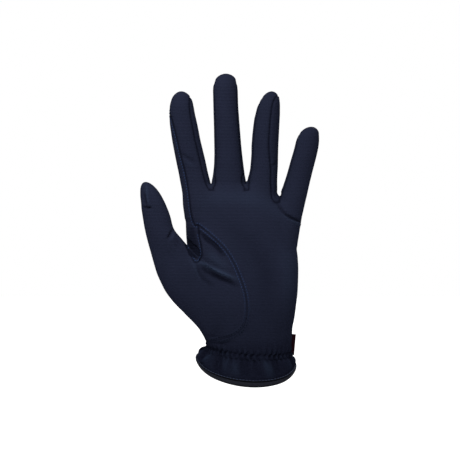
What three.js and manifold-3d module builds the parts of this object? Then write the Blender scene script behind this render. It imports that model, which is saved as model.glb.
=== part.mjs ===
// A left-hand horse riding glove as it looks when worn: +Z to the fingertips, palm towards -Y, thumb at -X.
// Millimetres. The origin is the middle of the wrist opening, level with the lowest point of its hem.
import * as THREE from "three";
import { mergeVertices } from "three/addons/utils/BufferGeometryUtils.js";
import Module from "manifold-3d";

const wasm = await Module();
wasm.setup();

// Leather and sewing
const WALL = 1.5;
const SEAM_GAP = 0.3;
const BINDING_THICKNESS = 0.8;
const BINDING_HEIGHT = 3.7;
const BINDING_GAP = 0.3;
const PUCKER = 0.55;
const SKIRT_FOLD = 0.6;
const CREASE_DEPTH = 0.8;
const CREASE_WIDTH = 2.4;

// Hand
const PALM_WIDTH = 81;
const PALM_DEPTH = 32;
const PALM_SQUARENESS = 0.86;
const PALM_BASE = 41.4;
const CROTCH_HEIGHT = 151.2;
const CURL = 9;
const CURL_START = 135;
const CURL_REACH = 96;

// Cuff: the wrist where it is gathered, and the skirt's hem
const WRIST_LEFT = 28.6;
const WRIST_RIGHT = 33.3;
const WRIST_DEPTH = 42;
const HEM_WIDTH = 72.4;
const HEM_DEPTH = 52.4;
const GATHER_HEIGHT = 27.4;
const GATHER_DROP = 4.5;
const GATHER_LEAN = 2.2;
const HEM_DROP = 15.8;
const HEM_LEAN = 3.2;
const HEM_BACK_RISE = 4.2;

// Label tab
const TAB_LENGTH = 15.5;
const TAB_REACH = 3;
const TAB_THICKNESS = 1.2;
const TAB_HEIGHT = 23;
const TAB_TILT = 5;
const TAB_GAP = 0.3;

// Number of facets round each limb
const PALM_SIDES = 48;
const LINING_SIDES = 24;
const FINGER_SIDES = 14;
const BORE_SIDES = 10;

// Each finger: x of its root and tip, how far its root lies below the crotches, length, width and depth.
const INDEX = { rootX: -37.3, tipX: -47.7, below: 1.2, length: 68, width: 21.5, depth: 18.5 };
const MIDDLE = { rootX: -12.6, tipX: -14.9, below: 0, length: 79.7, width: 20.4, depth: 18 };
const RING = { rootX: 12.1, tipX: 19.2, below: 3.2, length: 70, width: 19.9, depth: 17.5 };
const LITTLE = { rootX: 34.2, tipX: 48.5, below: 13.2, length: 54, width: 18.6, depth: 16.5 };
const FINGERS = [INDEX, MIDDLE, RING, LITTLE];
FINGERS.forEach((finger) => {
  finger.root = CROTCH_HEIGHT - finger.below;
  finger.tip = finger.root + finger.length;
});

// The thumb starts below the palm's base and reaches forward of the hand.
const THUMB = { rootX: -22.9, tipX: -73.3, below: 8.8, length: 118.4, width: 21.5, depth: 20, forward: 20 };
THUMB.root = PALM_BASE - THUMB.below;
THUMB.tip = THUMB.root + THUMB.length;

// Outlines of the fingers. at: share of the way from root to tip; left and right: shares of the width from
// the line between root and tip; deep: share of the depth.
INDEX.rows = [
  { at: -0.35, left: 0.52, right: 0.45, deep: 0.9 },
  { at: -0.1, left: 0.51, right: 0.55, deep: 1.08 },
  { at: 0.04, left: 0.52, right: 0.51, deep: 1.05 },
  { at: 0.23, left: 0.55, right: 0.46, deep: 1 },
  { at: 0.49, left: 0.58, right: 0.39, deep: 0.97 },
  { at: 0.69, left: 0.56, right: 0.365, deep: 0.94 },
  { at: 0.82, left: 0.5, right: 0.34, deep: 0.88 },
  { at: 0.885, left: 0.43, right: 0.33, deep: 0.8 },
  { at: 0.95, left: 0.3, right: 0.265, deep: 0.62 },
  { at: 0.982, left: 0.18, right: 0.165, deep: 0.36 },
];
MIDDLE.rows = [
  { at: -0.35, left: 0.55, right: 0.55, deep: 0.9 },
  { at: -0.1, left: 0.7, right: 0.7, deep: 1.12 },
  { at: 0.015, left: 0.63, right: 0.62, deep: 1.1 },
  { at: 0.07, left: 0.575, right: 0.585, deep: 1.08 },
  { at: 0.29, left: 0.5, right: 0.5, deep: 1 },
  { at: 0.57, left: 0.49, right: 0.44, deep: 0.95 },
  { at: 0.85, left: 0.48, right: 0.415, deep: 0.86 },
  { at: 0.905, left: 0.44, right: 0.395, deep: 0.78 },
  { at: 0.963, left: 0.35, right: 0.345, deep: 0.58 },
  { at: 0.988, left: 0.22, right: 0.22, deep: 0.36 },
];
RING.rows = [
  { at: -0.4, left: 0.5, right: 0.5, deep: 0.9 },
  { at: -0.19, left: 0.6, right: 0.6, deep: 1.1 },
  { at: -0.06, left: 0.63, right: 0.575, deep: 1.1 },
  { at: 0.06, left: 0.595, right: 0.535, deep: 1.07 },
  { at: 0.19, left: 0.52, right: 0.51, deep: 1.03 },
  { at: 0.44, left: 0.56, right: 0.44, deep: 1 },
  { at: 0.7, left: 0.56, right: 0.39, deep: 0.95 },
  { at: 0.83, left: 0.49, right: 0.36, deep: 0.87 },
  { at: 0.89, left: 0.42, right: 0.32, deep: 0.78 },
  { at: 0.95, left: 0.31, right: 0.25, deep: 0.6 },
  { at: 0.985, left: 0.17, right: 0.15, deep: 0.34 },
];
LITTLE.rows = [
  { at: -0.6, left: 0.3, right: 0.58, deep: 0.85 },
  { at: -0.39, left: 0.38, right: 0.575, deep: 1.05 },
  { at: -0.06, left: 0.51, right: 0.56, deep: 1.1 },
  { at: 0.1, left: 0.53, right: 0.545, deep: 1.06 },
  { at: 0.27, left: 0.49, right: 0.53, deep: 1.02 },
  { at: 0.51, left: 0.47, right: 0.52, deep: 1 },
  { at: 0.76, left: 0.46, right: 0.48, deep: 0.92 },
  { at: 0.84, left: 0.455, right: 0.43, deep: 0.85 },
  { at: 0.925, left: 0.39, right: 0.355, deep: 0.68 },
  { at: 0.972, left: 0.25, right: 0.24, deep: 0.4 },
];

// The thumb and its ball. forward: share of the thumb's reach in front of the hand.
THUMB.rows = [
  { at: 0, left: 0.15, right: 0.1, forward: 0, deep: 1.2 },
  { at: 0.05, left: 0.27, right: 0.25, forward: 0.05, deep: 1.6 },
  { at: 0.112, left: 0.435, right: 0.64, forward: 0.1, deep: 1.8 },
  { at: 0.187, left: 0.665, right: 0.92, forward: 0.18, deep: 1.74 },
  { at: 0.262, left: 0.88, right: 1.03, forward: 0.25, deep: 1.62 },
  { at: 0.337, left: 0.98, right: 1.03, forward: 0.3, deep: 1.5 },
  { at: 0.412, left: 0.995, right: 0.96, forward: 0.4, deep: 1.34 },
  { at: 0.487, left: 0.95, right: 0.83, forward: 0.5, deep: 1.2 },
  { at: 0.562, left: 0.89, right: 0.59, forward: 0.62, deep: 1.1 },
  { at: 0.637, left: 0.82, right: 0.4, forward: 0.75, deep: 1.1 },
  { at: 0.712, left: 0.74, right: 0.26, forward: 0.85, deep: 1 },
  { at: 0.787, left: 0.635, right: 0.32, forward: 0.9, deep: 0.95 },
  { at: 0.862, left: 0.505, right: 0.34, forward: 0.95, deep: 0.9 },
  { at: 0.9375, left: 0.36, right: 0.29, forward: 0.98, deep: 0.74 },
  { at: 0.975, left: 0.25, right: 0.2, forward: 1, deep: 0.5 },
  { at: 0.992, left: 0.12, right: 0.1, forward: 1, deep: 0.28 },
];

// The palm without the thumb. at: share of the way from the palm's base to the finger roots; left and right:
// shares of the palm's width; front and back: shares of its depth.
const PALM_ROWS = [
  { at: 0, left: 0.375, right: 0.423, front: 0.67, back: 0.61 },
  { at: 0.122, left: 0.425, right: 0.452, front: 0.64, back: 0.56 },
  { at: 0.283, left: 0.494, right: 0.474, front: 0.57, back: 0.51 },
  { at: 0.445, left: 0.525, right: 0.477, front: 0.5, back: 0.47 },
  { at: 0.566, left: 0.538, right: 0.461, front: 0.47, back: 0.45 },
  { at: 0.688, left: 0.547, right: 0.46, front: 0.45, back: 0.44 },
  { at: 0.809, left: 0.558, right: 0.41, front: 0.42, back: 0.42 },
  { at: 0.89, left: 0.56, right: 0.33, front: 0.37, back: 0.38 },
  { at: 0.95, left: 0.53, right: 0.26, front: 0.29, back: 0.3 },
  { at: 0.983, left: 0.48, right: 0.22, front: 0.2, back: 0.2 },
  { at: 1, left: 0.44, right: 0.19, front: 0.09, back: 0.09 },
];

// The cuff from its hem (at 0) over the gathered wrist (at 1) to the palm's base (at 2). flare: share of the
// way from wrist to hem in width and depth; pucker and fold: shares of their depths.
const CUFF_ROWS = [
  { at: 0, flare: 1, pucker: 0, fold: 1 },
  { at: 0.3, flare: 0.96, pucker: 0, fold: 0.9 },
  { at: 0.6, flare: 0.72, pucker: 0, fold: 0.6 },
  { at: 0.84, flare: 0.25, pucker: 0.8, fold: 0.2 },
  { at: 1, flare: 0, pucker: 1, fold: 0 },
  { at: 1.18, flare: 0.09, pucker: 1, fold: 0 },
  { at: 1.36, flare: 0, pucker: 0.9, fold: 0 },
  { at: 1.6, flare: 0.04, pucker: 0, fold: 0 },
];
const SKIRT_FOLDS = 12;

// The curved seam that sets the thumb in: shares of the palm's width from its middle, and of the way from
// the palm's base to the finger roots.
const THUMB_SEAM = [
  { across: -0.438, up: 0.71 },
  { across: -0.28, up: 0.61 },
  { across: -0.11, up: 0.462 },
  { across: -0.012, up: 0.317 },
  { across: 0.014, up: 0.182 },
  { across: -0.018, up: 0.034 },
  { across: -0.11, up: -0.026 },
  { across: -0.265, up: -0.06 },
  { across: -0.375, up: -0.074 },
];

// The thumb's own seam from the curved seam round its crotch, in the same shares.
const THUMB_CROTCH = [
  { across: -0.525, up: 0.576 },
  { across: -0.495, up: 0.5 },
  { across: -0.46, up: 0.458 },
  { across: -0.425, up: 0.472 },
  { across: -0.402, up: 0.515 },
  { across: -0.41, up: 0.565 },
  { across: -0.428, up: 0.64 },
];

// The seam on the front of the index finger, left of which the back of the glove wraps round.
const INDEX_SEAM = [
  { at: 0.68, left: 0.48 },
  { at: 0.49, left: 0.48 },
  { at: 0.23, left: 0.43 },
  { at: 0.12, left: 0.31 },
  { at: -0.05, left: 0.3 },
  { at: -0.18, left: 0.305 },
  { at: -0.33, left: 0.25 },
  { at: -0.45, left: 0.21 },
];

// Side strips between the fingers. inside: share of the half width where the strip's edge lies on its
// finger; half: share of the finger's half depth that it covers to each side.
const HIDDEN_STRIP = [
  { at: -0.1, inside: 1.02, half: 1.3 },
  { at: 0.02, inside: 0.8, half: 1.3 },
  { at: 0.1, inside: 0.6, half: 0.75 },
  { at: 0.25, inside: 0.3, half: 0.5 },
  { at: 0.75, inside: 0.1, half: 0.42 },
  { at: 0.93, inside: 0.1, half: 0.22 },
];
const INDEX_STRIP = [
  { at: -0.1, inside: 0.88, half: 1.3 },
  { at: 0.08, inside: 0.66, half: 1.3 },
  { at: 0.35, inside: 0.575, half: 1.3 },
  { at: 0.6, inside: 0.61, half: 1.3 },
  { at: 0.77, inside: 0.63, half: 1.3 },
  { at: 0.94, inside: 0.6, half: 1.3 },
];
const RING_STRIP = [
  { at: -0.26, inside: 0.95, half: 1.3 },
  { at: -0.04, inside: 0.36, half: 1.3 },
  { at: 0.12, inside: 0.31, half: 1.3 },
  { at: 0.6, inside: 0.08, half: 1.3 },
  { at: 0.94, inside: 0.14, half: 1.3 },
];
const LITTLE_STRIP = [
  { at: -0.12, inside: 1.02, half: 1.3 },
  { at: 0.02, inside: 0.8, half: 1.3 },
  { at: 0.12, inside: 0.6, half: 0.75 },
  { at: 0.25, inside: 0.3, half: 0.5 },
  { at: 0.7, inside: 0.1, half: 0.42 },
  { at: 0.9, inside: 0.1, half: 0.22 },
];

// Creases pressed into the front: at the little finger's root, the thumb's seam, the thumb's joint and the
// index finger's joint. Points are shares of the palm's width and of the way up to the finger roots.
const CREASES = [
  { deep: 1, wide: 1, points: [[0.3, 0.925], [0.36, 0.842], [0.43, 0.79], [0.52, 0.765]] },
  { deep: 0.8, wide: 1.6, points: [[-0.38, 0.6], [-0.3, 0.56], [-0.19, 0.47]] },
  { deep: 0.7, wide: 1, points: [[-0.74, 0.67], [-0.77, 0.64], [-0.8, 0.61]] },
  { deep: 0.6, wide: 1.2, points: [[-0.585, 1.15], [-0.55, 1.13], [-0.515, 1.11]] },
];

const lerp = THREE.MathUtils.lerp;

// A value of a table at a given place, straight between its rows.
function sample(rows, at, key) {
  const next = rows.findIndex((row) => row.at >= at);
  if (next < 1) return rows[next < 0 ? rows.length - 1 : 0][key];
  const low = rows[next - 1];
  const high = rows[next];
  return lerp(low[key], high[key], (at - low.at) / (high.at - low.at));
}

// How far forward the middle of the hand lies at a height: the fingers curl a little towards the palm.
function curlAt(z) {
  return -CURL * Math.max(0, (z - CURL_START) / CURL_REACH) ** 2;
}

// One section of a finger in millimetres.
function fingerSection(finger, at) {
  const z = lerp(finger.root, finger.tip, at);
  const axis = lerp(finger.rootX, finger.tipX, at);
  return {
    z,
    left: axis - finger.width * sample(finger.rows, at, "left"),
    right: axis + finger.width * sample(finger.rows, at, "right"),
    middle: finger.forward ? -finger.forward * sample(finger.rows, at, "forward") : curlAt(z),
    half: (finger.depth / 2) * sample(finger.rows, at, "deep"),
  };
}

// A closed ring of points round a section, counter-clockwise seen from above.
function ring(sides, shape) {
  return Array.from({ length: sides }, (_, i) => shape((2 * Math.PI * i) / sides, i));
}

const LEAST_RADIUS = WALL / 5;

function fingerRing(section, sides, inset) {
  const across = Math.max((section.right - section.left) / 2 - inset, LEAST_RADIUS);
  const deep = Math.max(section.half - inset, LEAST_RADIUS);
  const centre = (section.left + section.right) / 2;
  return ring(sides, (turn) => [
    centre + across * Math.cos(turn),
    section.middle + deep * Math.sin(turn),
    section.z,
  ]);
}

// A solid through stacked rings, whose counts may double or halve from one ring to the next.
function loft(rings) {
  const points = rings.flat();
  const starts = rings.map((_, i) => rings.slice(0, i).reduce((sum, r) => sum + r.length, 0));
  const faces = [];
  for (let i = 0; i + 1 < rings.length; i += 1) {
    const [low, high] = [rings[i].length, rings[i + 1].length];
    const below = (k) => starts[i] + (k % low);
    const above = (k) => starts[i + 1] + (k % high);
    for (let k = 0; k < Math.min(low, high); k += 1) {
      if (low === high) {
        faces.push([below(k), below(k + 1), above(k + 1)]);
        faces.push([below(k), above(k + 1), above(k)]);
      }
      if (low > high) {
        faces.push([below(2 * k), below(2 * k + 1), above(k)]);
        faces.push([below(2 * k + 1), above(k + 1), above(k)]);
        faces.push([below(2 * k + 1), below(2 * k + 2), above(k + 1)]);
      }
      if (low < high) {
        faces.push([below(k), above(2 * k + 1), above(2 * k)]);
        faces.push([below(k), below(k + 1), above(2 * k + 1)]);
        faces.push([below(k + 1), above(2 * k + 2), above(2 * k + 1)]);
      }
    }
  }
  const cap = (end, start, flip) => {
    const centre = [0, 1, 2].map((axis) => end.reduce((sum, p) => sum + p[axis], 0) / end.length);
    const hub = points.push(centre) - 1;
    end.forEach((_, k) => {
      const next = start + ((k + 1) % end.length);
      faces.push(flip ? [next, start + k, hub] : [start + k, next, hub]);
    });
  };
  cap(rings[0], starts[0], true);
  cap(rings.at(-1), starts.at(-1), false);
  return solidOf(new THREE.BufferGeometry()
    .setAttribute("position", new THREE.Float32BufferAttribute(points.flat(), 3))
    .setIndex(faces.flat()));
}

function solidOf(geometry) {
  geometry.deleteAttribute("normal");
  geometry.deleteAttribute("uv");
  const merged = mergeVertices(geometry);
  return new wasm.Manifold(new wasm.Mesh({
    numProp: 3,
    vertProperties: merged.attributes.position.array,
    triVerts: new Uint32Array(merged.index.array),
  }));
}

function finger(spec, inset) {
  const shrink = 1 - inset / spec.length;
  const sides = inset ? BORE_SIDES : FINGER_SIDES;
  const rows = inset ? spec.rows.filter((_, i) => i % 2 === 0) : spec.rows;
  const rings = rows.map((row) => {
    const section = fingerSection(spec, row.at);
    section.z = spec.root + spec.length * row.at * shrink;
    return fingerRing(section, sides, inset);
  });
  const tip = fingerSection(spec, 1);
  tip.z -= inset;
  tip.left = spec.tipX;
  tip.right = spec.tipX;
  tip.half = 0;
  return loft([...rings, fingerRing(tip, sides, 0)]);
}

// A rounded section of the hand: a superellipse with its own depth to the front and to the back.
function rounded(value, power) {
  return Math.sign(value) * Math.abs(value) ** power;
}

function palmRing(row, sides, inset) {
  const z = lerp(PALM_BASE, CROTCH_HEIGHT - inset, row.at);
  const left = -PALM_WIDTH * row.left + inset;
  const right = PALM_WIDTH * row.right - inset;
  return ring(sides, (turn) => {
    const depth = PALM_DEPTH * (Math.sin(turn) < 0 ? row.front : row.back) - inset;
    return [
      (left + right) / 2 + ((right - left) / 2) * rounded(Math.cos(turn), PALM_SQUARENESS),
      curlAt(z) + Math.max(depth, LEAST_RADIUS) * rounded(Math.sin(turn), PALM_SQUARENESS),
      z,
    ];
  });
}

// The hem's height at the sides, which brings the lowest point of its binding to zero.
const HEM_SIDE = Math.hypot(HEM_DROP, HEM_LEAN) + BINDING_GAP + BINDING_THICKNESS;

// A point of the cuff: at runs from the hem over the gathers to the palm's base, inset is measured inwards.
function cuffPoint(turn, at, inset, pleat) {
  const share = (key) => sample(CUFF_ROWS, at, key);
  const wrist = Math.min(at, 1);
  const rise = Math.max(at - 1, 0);
  const [c, s] = [Math.cos(turn), Math.sin(turn)];
  const hem = HEM_SIDE - HEM_LEAN * c + (s < 0 ? HEM_DROP : HEM_BACK_RISE) * s;
  const gather = GATHER_HEIGHT - GATHER_LEAN * c + GATHER_DROP * s;
  const z = lerp(lerp(hem, gather, wrist), PALM_BASE, rise);
  const flare = share("flare");
  const fold = SKIRT_FOLD * share("fold") * Math.cos(SKIRT_FOLDS * turn);
  const out = fold + PUCKER * share("pucker") * pleat - inset;
  const base = PALM_ROWS[0];
  const wristLeft = lerp(WRIST_LEFT, PALM_WIDTH * base.left, rise);
  const wristRight = lerp(WRIST_RIGHT, PALM_WIDTH * base.right, rise);
  const wristDepth = lerp(WRIST_DEPTH / 2, PALM_DEPTH * (s < 0 ? base.front : base.back), rise);
  const left = lerp(wristLeft, HEM_WIDTH / 2, flare) + out;
  const right = lerp(wristRight, HEM_WIDTH / 2, flare) + out;
  const deep = lerp(wristDepth, HEM_DEPTH / 2, flare) + out;
  const power = lerp(1, PALM_SQUARENESS, rise);
  const centre = (right - left) / 2;
  return [centre + ((left + right) / 2) * rounded(c, power), deep * rounded(s, power), z];
}

function hand(inset) {
  const sides = inset ? LINING_SIDES : PALM_SIDES;
  const gathered = inset ? LINING_SIDES : 2 * PALM_SIDES;
  const cuff = CUFF_ROWS.map((row) => {
    const plain = row.at > 1 ? sides : PALM_SIDES;
    const count = row.pucker ? gathered : plain;
    return ring(count, (turn, i) => cuffPoint(turn, row.at, inset, i % 2 ? -1 : 1));
  });
  const palm = PALM_ROWS.map((row) => palmRing(row, sides, inset));
  const mouth = ring(PALM_SIDES, (turn) => {
    const [x, y, z] = cuffPoint(turn, 0, inset || 2 * WALL, 0);
    return [x, y, inset ? z - 2 * WALL : z];
  });
  return loft([mouth, ...cuff, ...palm]);
}

function glove(inset) {
  return [...FINGERS, THUMB].reduce((sum, spec) => sum.add(finger(spec, inset)), hand(inset));
}

// A place on the palm's front from its shares.
function onPalm({ across, up }) {
  return new THREE.Vector2(PALM_WIDTH * across, lerp(PALM_BASE, CROTCH_HEIGHT, up));
}

// A line of points moved sideways by a distance, to its left as it runs.
function beside(line, distance) {
  return line.map((point, i) => {
    const along = line[Math.min(i + 1, line.length - 1)].clone().sub(line[Math.max(i - 1, 0)]).normalize();
    return new THREE.Vector2(point.x - along.y * distance, point.y + along.x * distance);
  });
}

// How far the cutting shapes reach past the glove.
const MARGIN = PALM_DEPTH;
const TOP = MIDDLE.tip + MARGIN;
const BOTTOM = -MARGIN;
const SIDE = PALM_WIDTH + MARGIN;
const REACH = HEM_DEPTH + THUMB.forward;

// A solid of an outline seen from the front, (x, z), running through the whole depth.
function frontPrism(outline) {
  const through = { depth: 2 * REACH, bevelEnabled: false };
  const geometry = new THREE.ExtrudeGeometry(new THREE.Shape(outline), through);
  return solidOf(geometry.rotateX(Math.PI / 2).translate(0, REACH, 0));
}

// Everything in front of a curved sheet, whose y is given for each height.
function inFrontOf(sheet, heights) {
  const edge = heights.map((z) => new THREE.Vector2(sheet(z), z));
  const outline = [new THREE.Vector2(-REACH, heights[0]), ...edge, new THREE.Vector2(-REACH, heights.at(-1))];
  const across = { depth: 2 * SIDE, bevelEnabled: false };
  const geometry = new THREE.ExtrudeGeometry(new THREE.Shape(outline), across);
  const turned = new THREE.Matrix4().makeBasis(
    new THREE.Vector3(0, 1, 0),
    new THREE.Vector3(0, 0, 1),
    new THREE.Vector3(1, 0, 0),
  );
  return solidOf(geometry.applyMatrix4(turned).translate(-SIDE, 0, 0));
}

const SEAM_STEPS = 18;
const SEAM_END_RISE = INDEX.width / 7;
const CURL_STEPS = 5;
const THUMB_CLEARANCE = THUMB.width / 5;
const BALL_SHEET = PALM_DEPTH / 10;

const thumbSeam = new THREE.SplineCurve(THUMB_SEAM.map(onPalm)).getPoints(SEAM_STEPS);
const thumbCrotch = THUMB_CROTCH.map(onPalm);
const indexSeam = INDEX_SEAM.map(({ at, left }) => new THREE.Vector2(
  lerp(INDEX.rootX, INDEX.tipX, at) - INDEX.width * left,
  lerp(INDEX.root, INDEX.tip, at),
));

// The front of the palm and fingers, grown by a distance over its seams.
function palmRegion(grow) {
  const seam = beside([...indexSeam, ...thumbSeam], -grow);
  const outline = [
    new THREE.Vector2(-SIDE, TOP),
    new THREE.Vector2(-SIDE, seam[0].y + SEAM_END_RISE),
    ...seam,
    new THREE.Vector2(-SIDE, seam.at(-1).y),
    new THREE.Vector2(-SIDE, BOTTOM),
    new THREE.Vector2(SIDE, BOTTOM),
    new THREE.Vector2(SIDE, TOP),
  ];
  const curled = Array.from({ length: CURL_STEPS + 1 }, (_, i) => lerp(CURL_START, TOP, i / CURL_STEPS));
  const heights = [BOTTOM, ...curled];
  return frontPrism(outline).intersect(inFrontOf((z) => curlAt(z) + grow, heights));
}

// The front of the thumb and its ball.
function thumbRegion(grow) {
  const seam = beside([...thumbCrotch, ...thumbSeam], grow);
  const section = (at) => fingerSection(THUMB, at);
  const nextTo = (at) => new THREE.Vector2(section(at).right + THUMB_CLEARANCE, section(at).z);
  const outline = [
    new THREE.Vector2(-SIDE, seam.at(-1).y),
    new THREE.Vector2(-SIDE, THUMB.tip + THUMB_CLEARANCE),
    new THREE.Vector2(THUMB.tipX, THUMB.tip + THUMB_CLEARANCE),
    ...[0.99, 0.9, 0.8, 0.7].map(nextTo),
    ...seam,
  ];
  const heights = THUMB.rows.map((row) => lerp(THUMB.root, THUMB.tip, row.at));
  const sheet = (z) => {
    const at = (z - THUMB.root) / THUMB.length;
    return grow - THUMB.forward * sample(THUMB.rows, at, "forward");
  };
  const start = thumbCrotch[2].x + WALL;
  const onHand = [[start, BOTTOM], [SIDE, BOTTOM], [SIDE, TOP], [start, TOP]];
  const ball = frontPrism(onHand.map(([x, z]) => new THREE.Vector2(x, z)))
    .intersect(inFrontOf(() => grow - BALL_SHEET, [BOTTOM, TOP]));
  return frontPrism(outline).intersect(inFrontOf(sheet, [BOTTOM, ...heights, TOP]).add(ball));
}

// A side strip between two fingers: the part of the glove between its edges on both.
function strip(leftFinger, leftRows, rightFinger, rightRows, grow) {
  const side = (spec, rows, other, sign) => loft(rows.map((row) => {
    const section = fingerSection(spec, row.at);
    const at = (section.z - other.root) / other.length;
    const facing = fingerSection(other, at);
    const edge = sign > 0 ? section.right : section.left;
    const far = sign > 0 ? facing.left : facing.right;
    const axis = (section.left + section.right) / 2;
    const seam = lerp(axis, edge, row.inside);
    const outermost = Math.max((sign * (edge + far)) / 2, sign * seam + SEAM_GAP);
    const middle = sign * (outermost + grow + SEAM_GAP);
    const half = section.half * row.half + grow;
    const [low, high] = [seam - sign * grow, middle].sort((a, b) => a - b);
    const z = row === rows[0] ? section.z - grow : section.z + (row === rows.at(-1) ? grow : 0);
    return [
      [high, section.middle + half, z],
      [low, section.middle + half, z],
      [low, section.middle - half, z],
      [high, section.middle - half, z],
    ];
  }));
  return side(leftFinger, leftRows, rightFinger, 1).add(side(rightFinger, rightRows, leftFinger, -1));
}

const STRIPS = {
  fourchette_index_middle: [INDEX, INDEX_STRIP, MIDDLE, HIDDEN_STRIP],
  fourchette_middle_ring: [MIDDLE, HIDDEN_STRIP, RING, HIDDEN_STRIP],
  fourchette_ring_little: [RING, RING_STRIP, LITTLE, LITTLE_STRIP],
};

// How far forward the front of the glove lies at a place seen from the front.
function frontAt(x, z) {
  const at = THREE.MathUtils.clamp((z - PALM_BASE) / (CROTCH_HEIGHT - PALM_BASE), 0, 1);
  const left = -PALM_WIDTH * sample(PALM_ROWS, at, "left");
  const right = PALM_WIDTH * sample(PALM_ROWS, at, "right");
  const bulge = (low, high, power) => {
    const share = Math.min(Math.abs((2 * x - low - high) / (high - low)), 1);
    return (1 - share ** (2 / power)) ** (power / 2);
  };
  const palm = curlAt(z) - PALM_DEPTH * sample(PALM_ROWS, at, "front") * bulge(left, right, PALM_SQUARENESS);
  const fronts = [INDEX, LITTLE, THUMB].map((spec) => {
    const section = fingerSection(spec, (z - spec.root) / spec.length);
    return section.middle - section.half * bulge(section.left, section.right, 1);
  });
  return Math.min(palm, ...fronts);
}

// A crease: a wedge that follows a line over the front and tapers out at both ends.
const CREASE_STEPS = 6;
const CREASE_END = 0.05;

function crease({ points, deep, wide }) {
  const places = points.map(([across, up]) => onPalm({ across, up }));
  const line = new THREE.SplineCurve(places).getPoints(CREASE_STEPS);
  const [left, right] = [beside(line, 1), beside(line, -1)];
  return loft(line.map((point, i) => {
    const fade = Math.sqrt(Math.max(Math.sin((Math.PI * i) / CREASE_STEPS), CREASE_END));
    const half = (CREASE_WIDTH / 2) * wide * fade;
    const away = (side) => [
      point.x + (side.x - point.x) * half,
      frontAt(point.x, point.y) - WALL,
      point.y + (side.y - point.y) * half,
    ];
    const bottom = [point.x, frontAt(point.x, point.y) + CREASE_DEPTH * deep * fade, point.y];
    return [away(left[i]), bottom, away(right[i])];
  }));
}

// The binding: a U folded round the hem, with its own gap to the leather.
function binding() {
  const rise = BINDING_HEIGHT / (GATHER_HEIGHT - HEM_SIDE + HEM_DROP / 2);
  const out = BINDING_GAP + BINDING_THICKNESS;
  const sections = ring(PALM_SIDES, (turn) => {
    const low = (inset, drop) => {
      const [x, y, z] = cuffPoint(turn, 0, inset, 0);
      return [x, y, z - drop];
    };
    const high = (inset) => cuffPoint(turn, rise, inset, 0);
    return [
      low(-out, out), high(-out), high(-BINDING_GAP), low(-BINDING_GAP, BINDING_GAP),
      low(WALL + BINDING_GAP, BINDING_GAP), high(WALL + BINDING_GAP), high(WALL + out), low(WALL + out, out),
    ];
  });
  return closedSweep(sections);
}

// A solid through sections that close on themselves.
function closedSweep(sections) {
  const count = sections[0].length;
  const faces = [];
  sections.forEach((_, i) => {
    const [near, far] = [i * count, ((i + 1) % sections.length) * count];
    for (let k = 0; k < count; k += 1) {
      const next = (k + 1) % count;
      faces.push([near + k, far + next, near + next], [near + k, far + k, far + next]);
    }
  });
  return solidOf(new THREE.BufferGeometry()
    .setAttribute("position", new THREE.Float32BufferAttribute(sections.flat(2), 3))
    .setIndex(faces.flat()));
}

// The tab lies in the side seam and stands out of it.
function tabBox(grow) {
  const geometry = new THREE.BoxGeometry(
    TAB_REACH + WALL + 2 * grow,
    TAB_THICKNESS + 2 * grow,
    TAB_LENGTH + 2 * grow,
  );
  const [x] = cuffPoint(0, 1, 0, 0);
  geometry.rotateY(THREE.MathUtils.degToRad(TAB_TILT));
  return solidOf(geometry.translate(x + (TAB_REACH - WALL) / 2, 0, TAB_HEIGHT + TAB_LENGTH / 2));
}

function partMesh(name, solid, material) {
  const mesh = solid.getMesh();
  const geometry = new THREE.BufferGeometry()
    .setAttribute("position", new THREE.BufferAttribute(mesh.vertProperties, 3))
    .setIndex(new THREE.BufferAttribute(mesh.triVerts, 1));
  const part = new THREE.Mesh(geometry, material);
  part.name = name;
  return part;
}

const half = SEAM_GAP / 2;
const creases = CREASES.map(crease).reduce((sum, one) => sum.add(one));
const shell = glove(0).subtract(glove(WALL)).subtract(tabBox(TAB_GAP)).subtract(creases);
const strips = Object.entries(STRIPS).map(([name, spec]) => [name, shell.intersect(strip(...spec, -half))]);
const allStrips = Object.values(STRIPS)
  .map((spec) => strip(...spec, half))
  .reduce((sum, one) => sum.add(one));
const rest = shell.subtract(allStrips);
const palm = rest.intersect(palmRegion(-half));
const thumb = rest.intersect(thumbRegion(-half));
const back = rest.subtract(palmRegion(half)).subtract(thumbRegion(half));

const leather = new THREE.MeshStandardMaterial({ color: "#20243a", roughness: 0.75, metalness: 0 });
const bindingLeather = new THREE.MeshStandardMaterial({ color: "#151826", roughness: 0.65, metalness: 0 });
const label = new THREE.MeshStandardMaterial({ color: "#211018", roughness: 0.8, metalness: 0 });

const group = new THREE.Group();
group.add(partMesh("palm_panel", palm, leather));
group.add(partMesh("thumb_panel", thumb, leather));
group.add(partMesh("back_panel", back, leather));
strips.forEach(([name, solid]) => group.add(partMesh(name, solid, leather)));
group.add(partMesh("hem_binding", binding(), bindingLeather));
group.add(partMesh("label_tab", tabBox(0), label));

export default group;
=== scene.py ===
# A left-hand horse riding glove as it looks when worn: the fingers point to +Z, the palm faces -Y and the
# thumb is at -X. Sizes are in millimetres; a mesh turns them into metres when it is made.
import math

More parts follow.
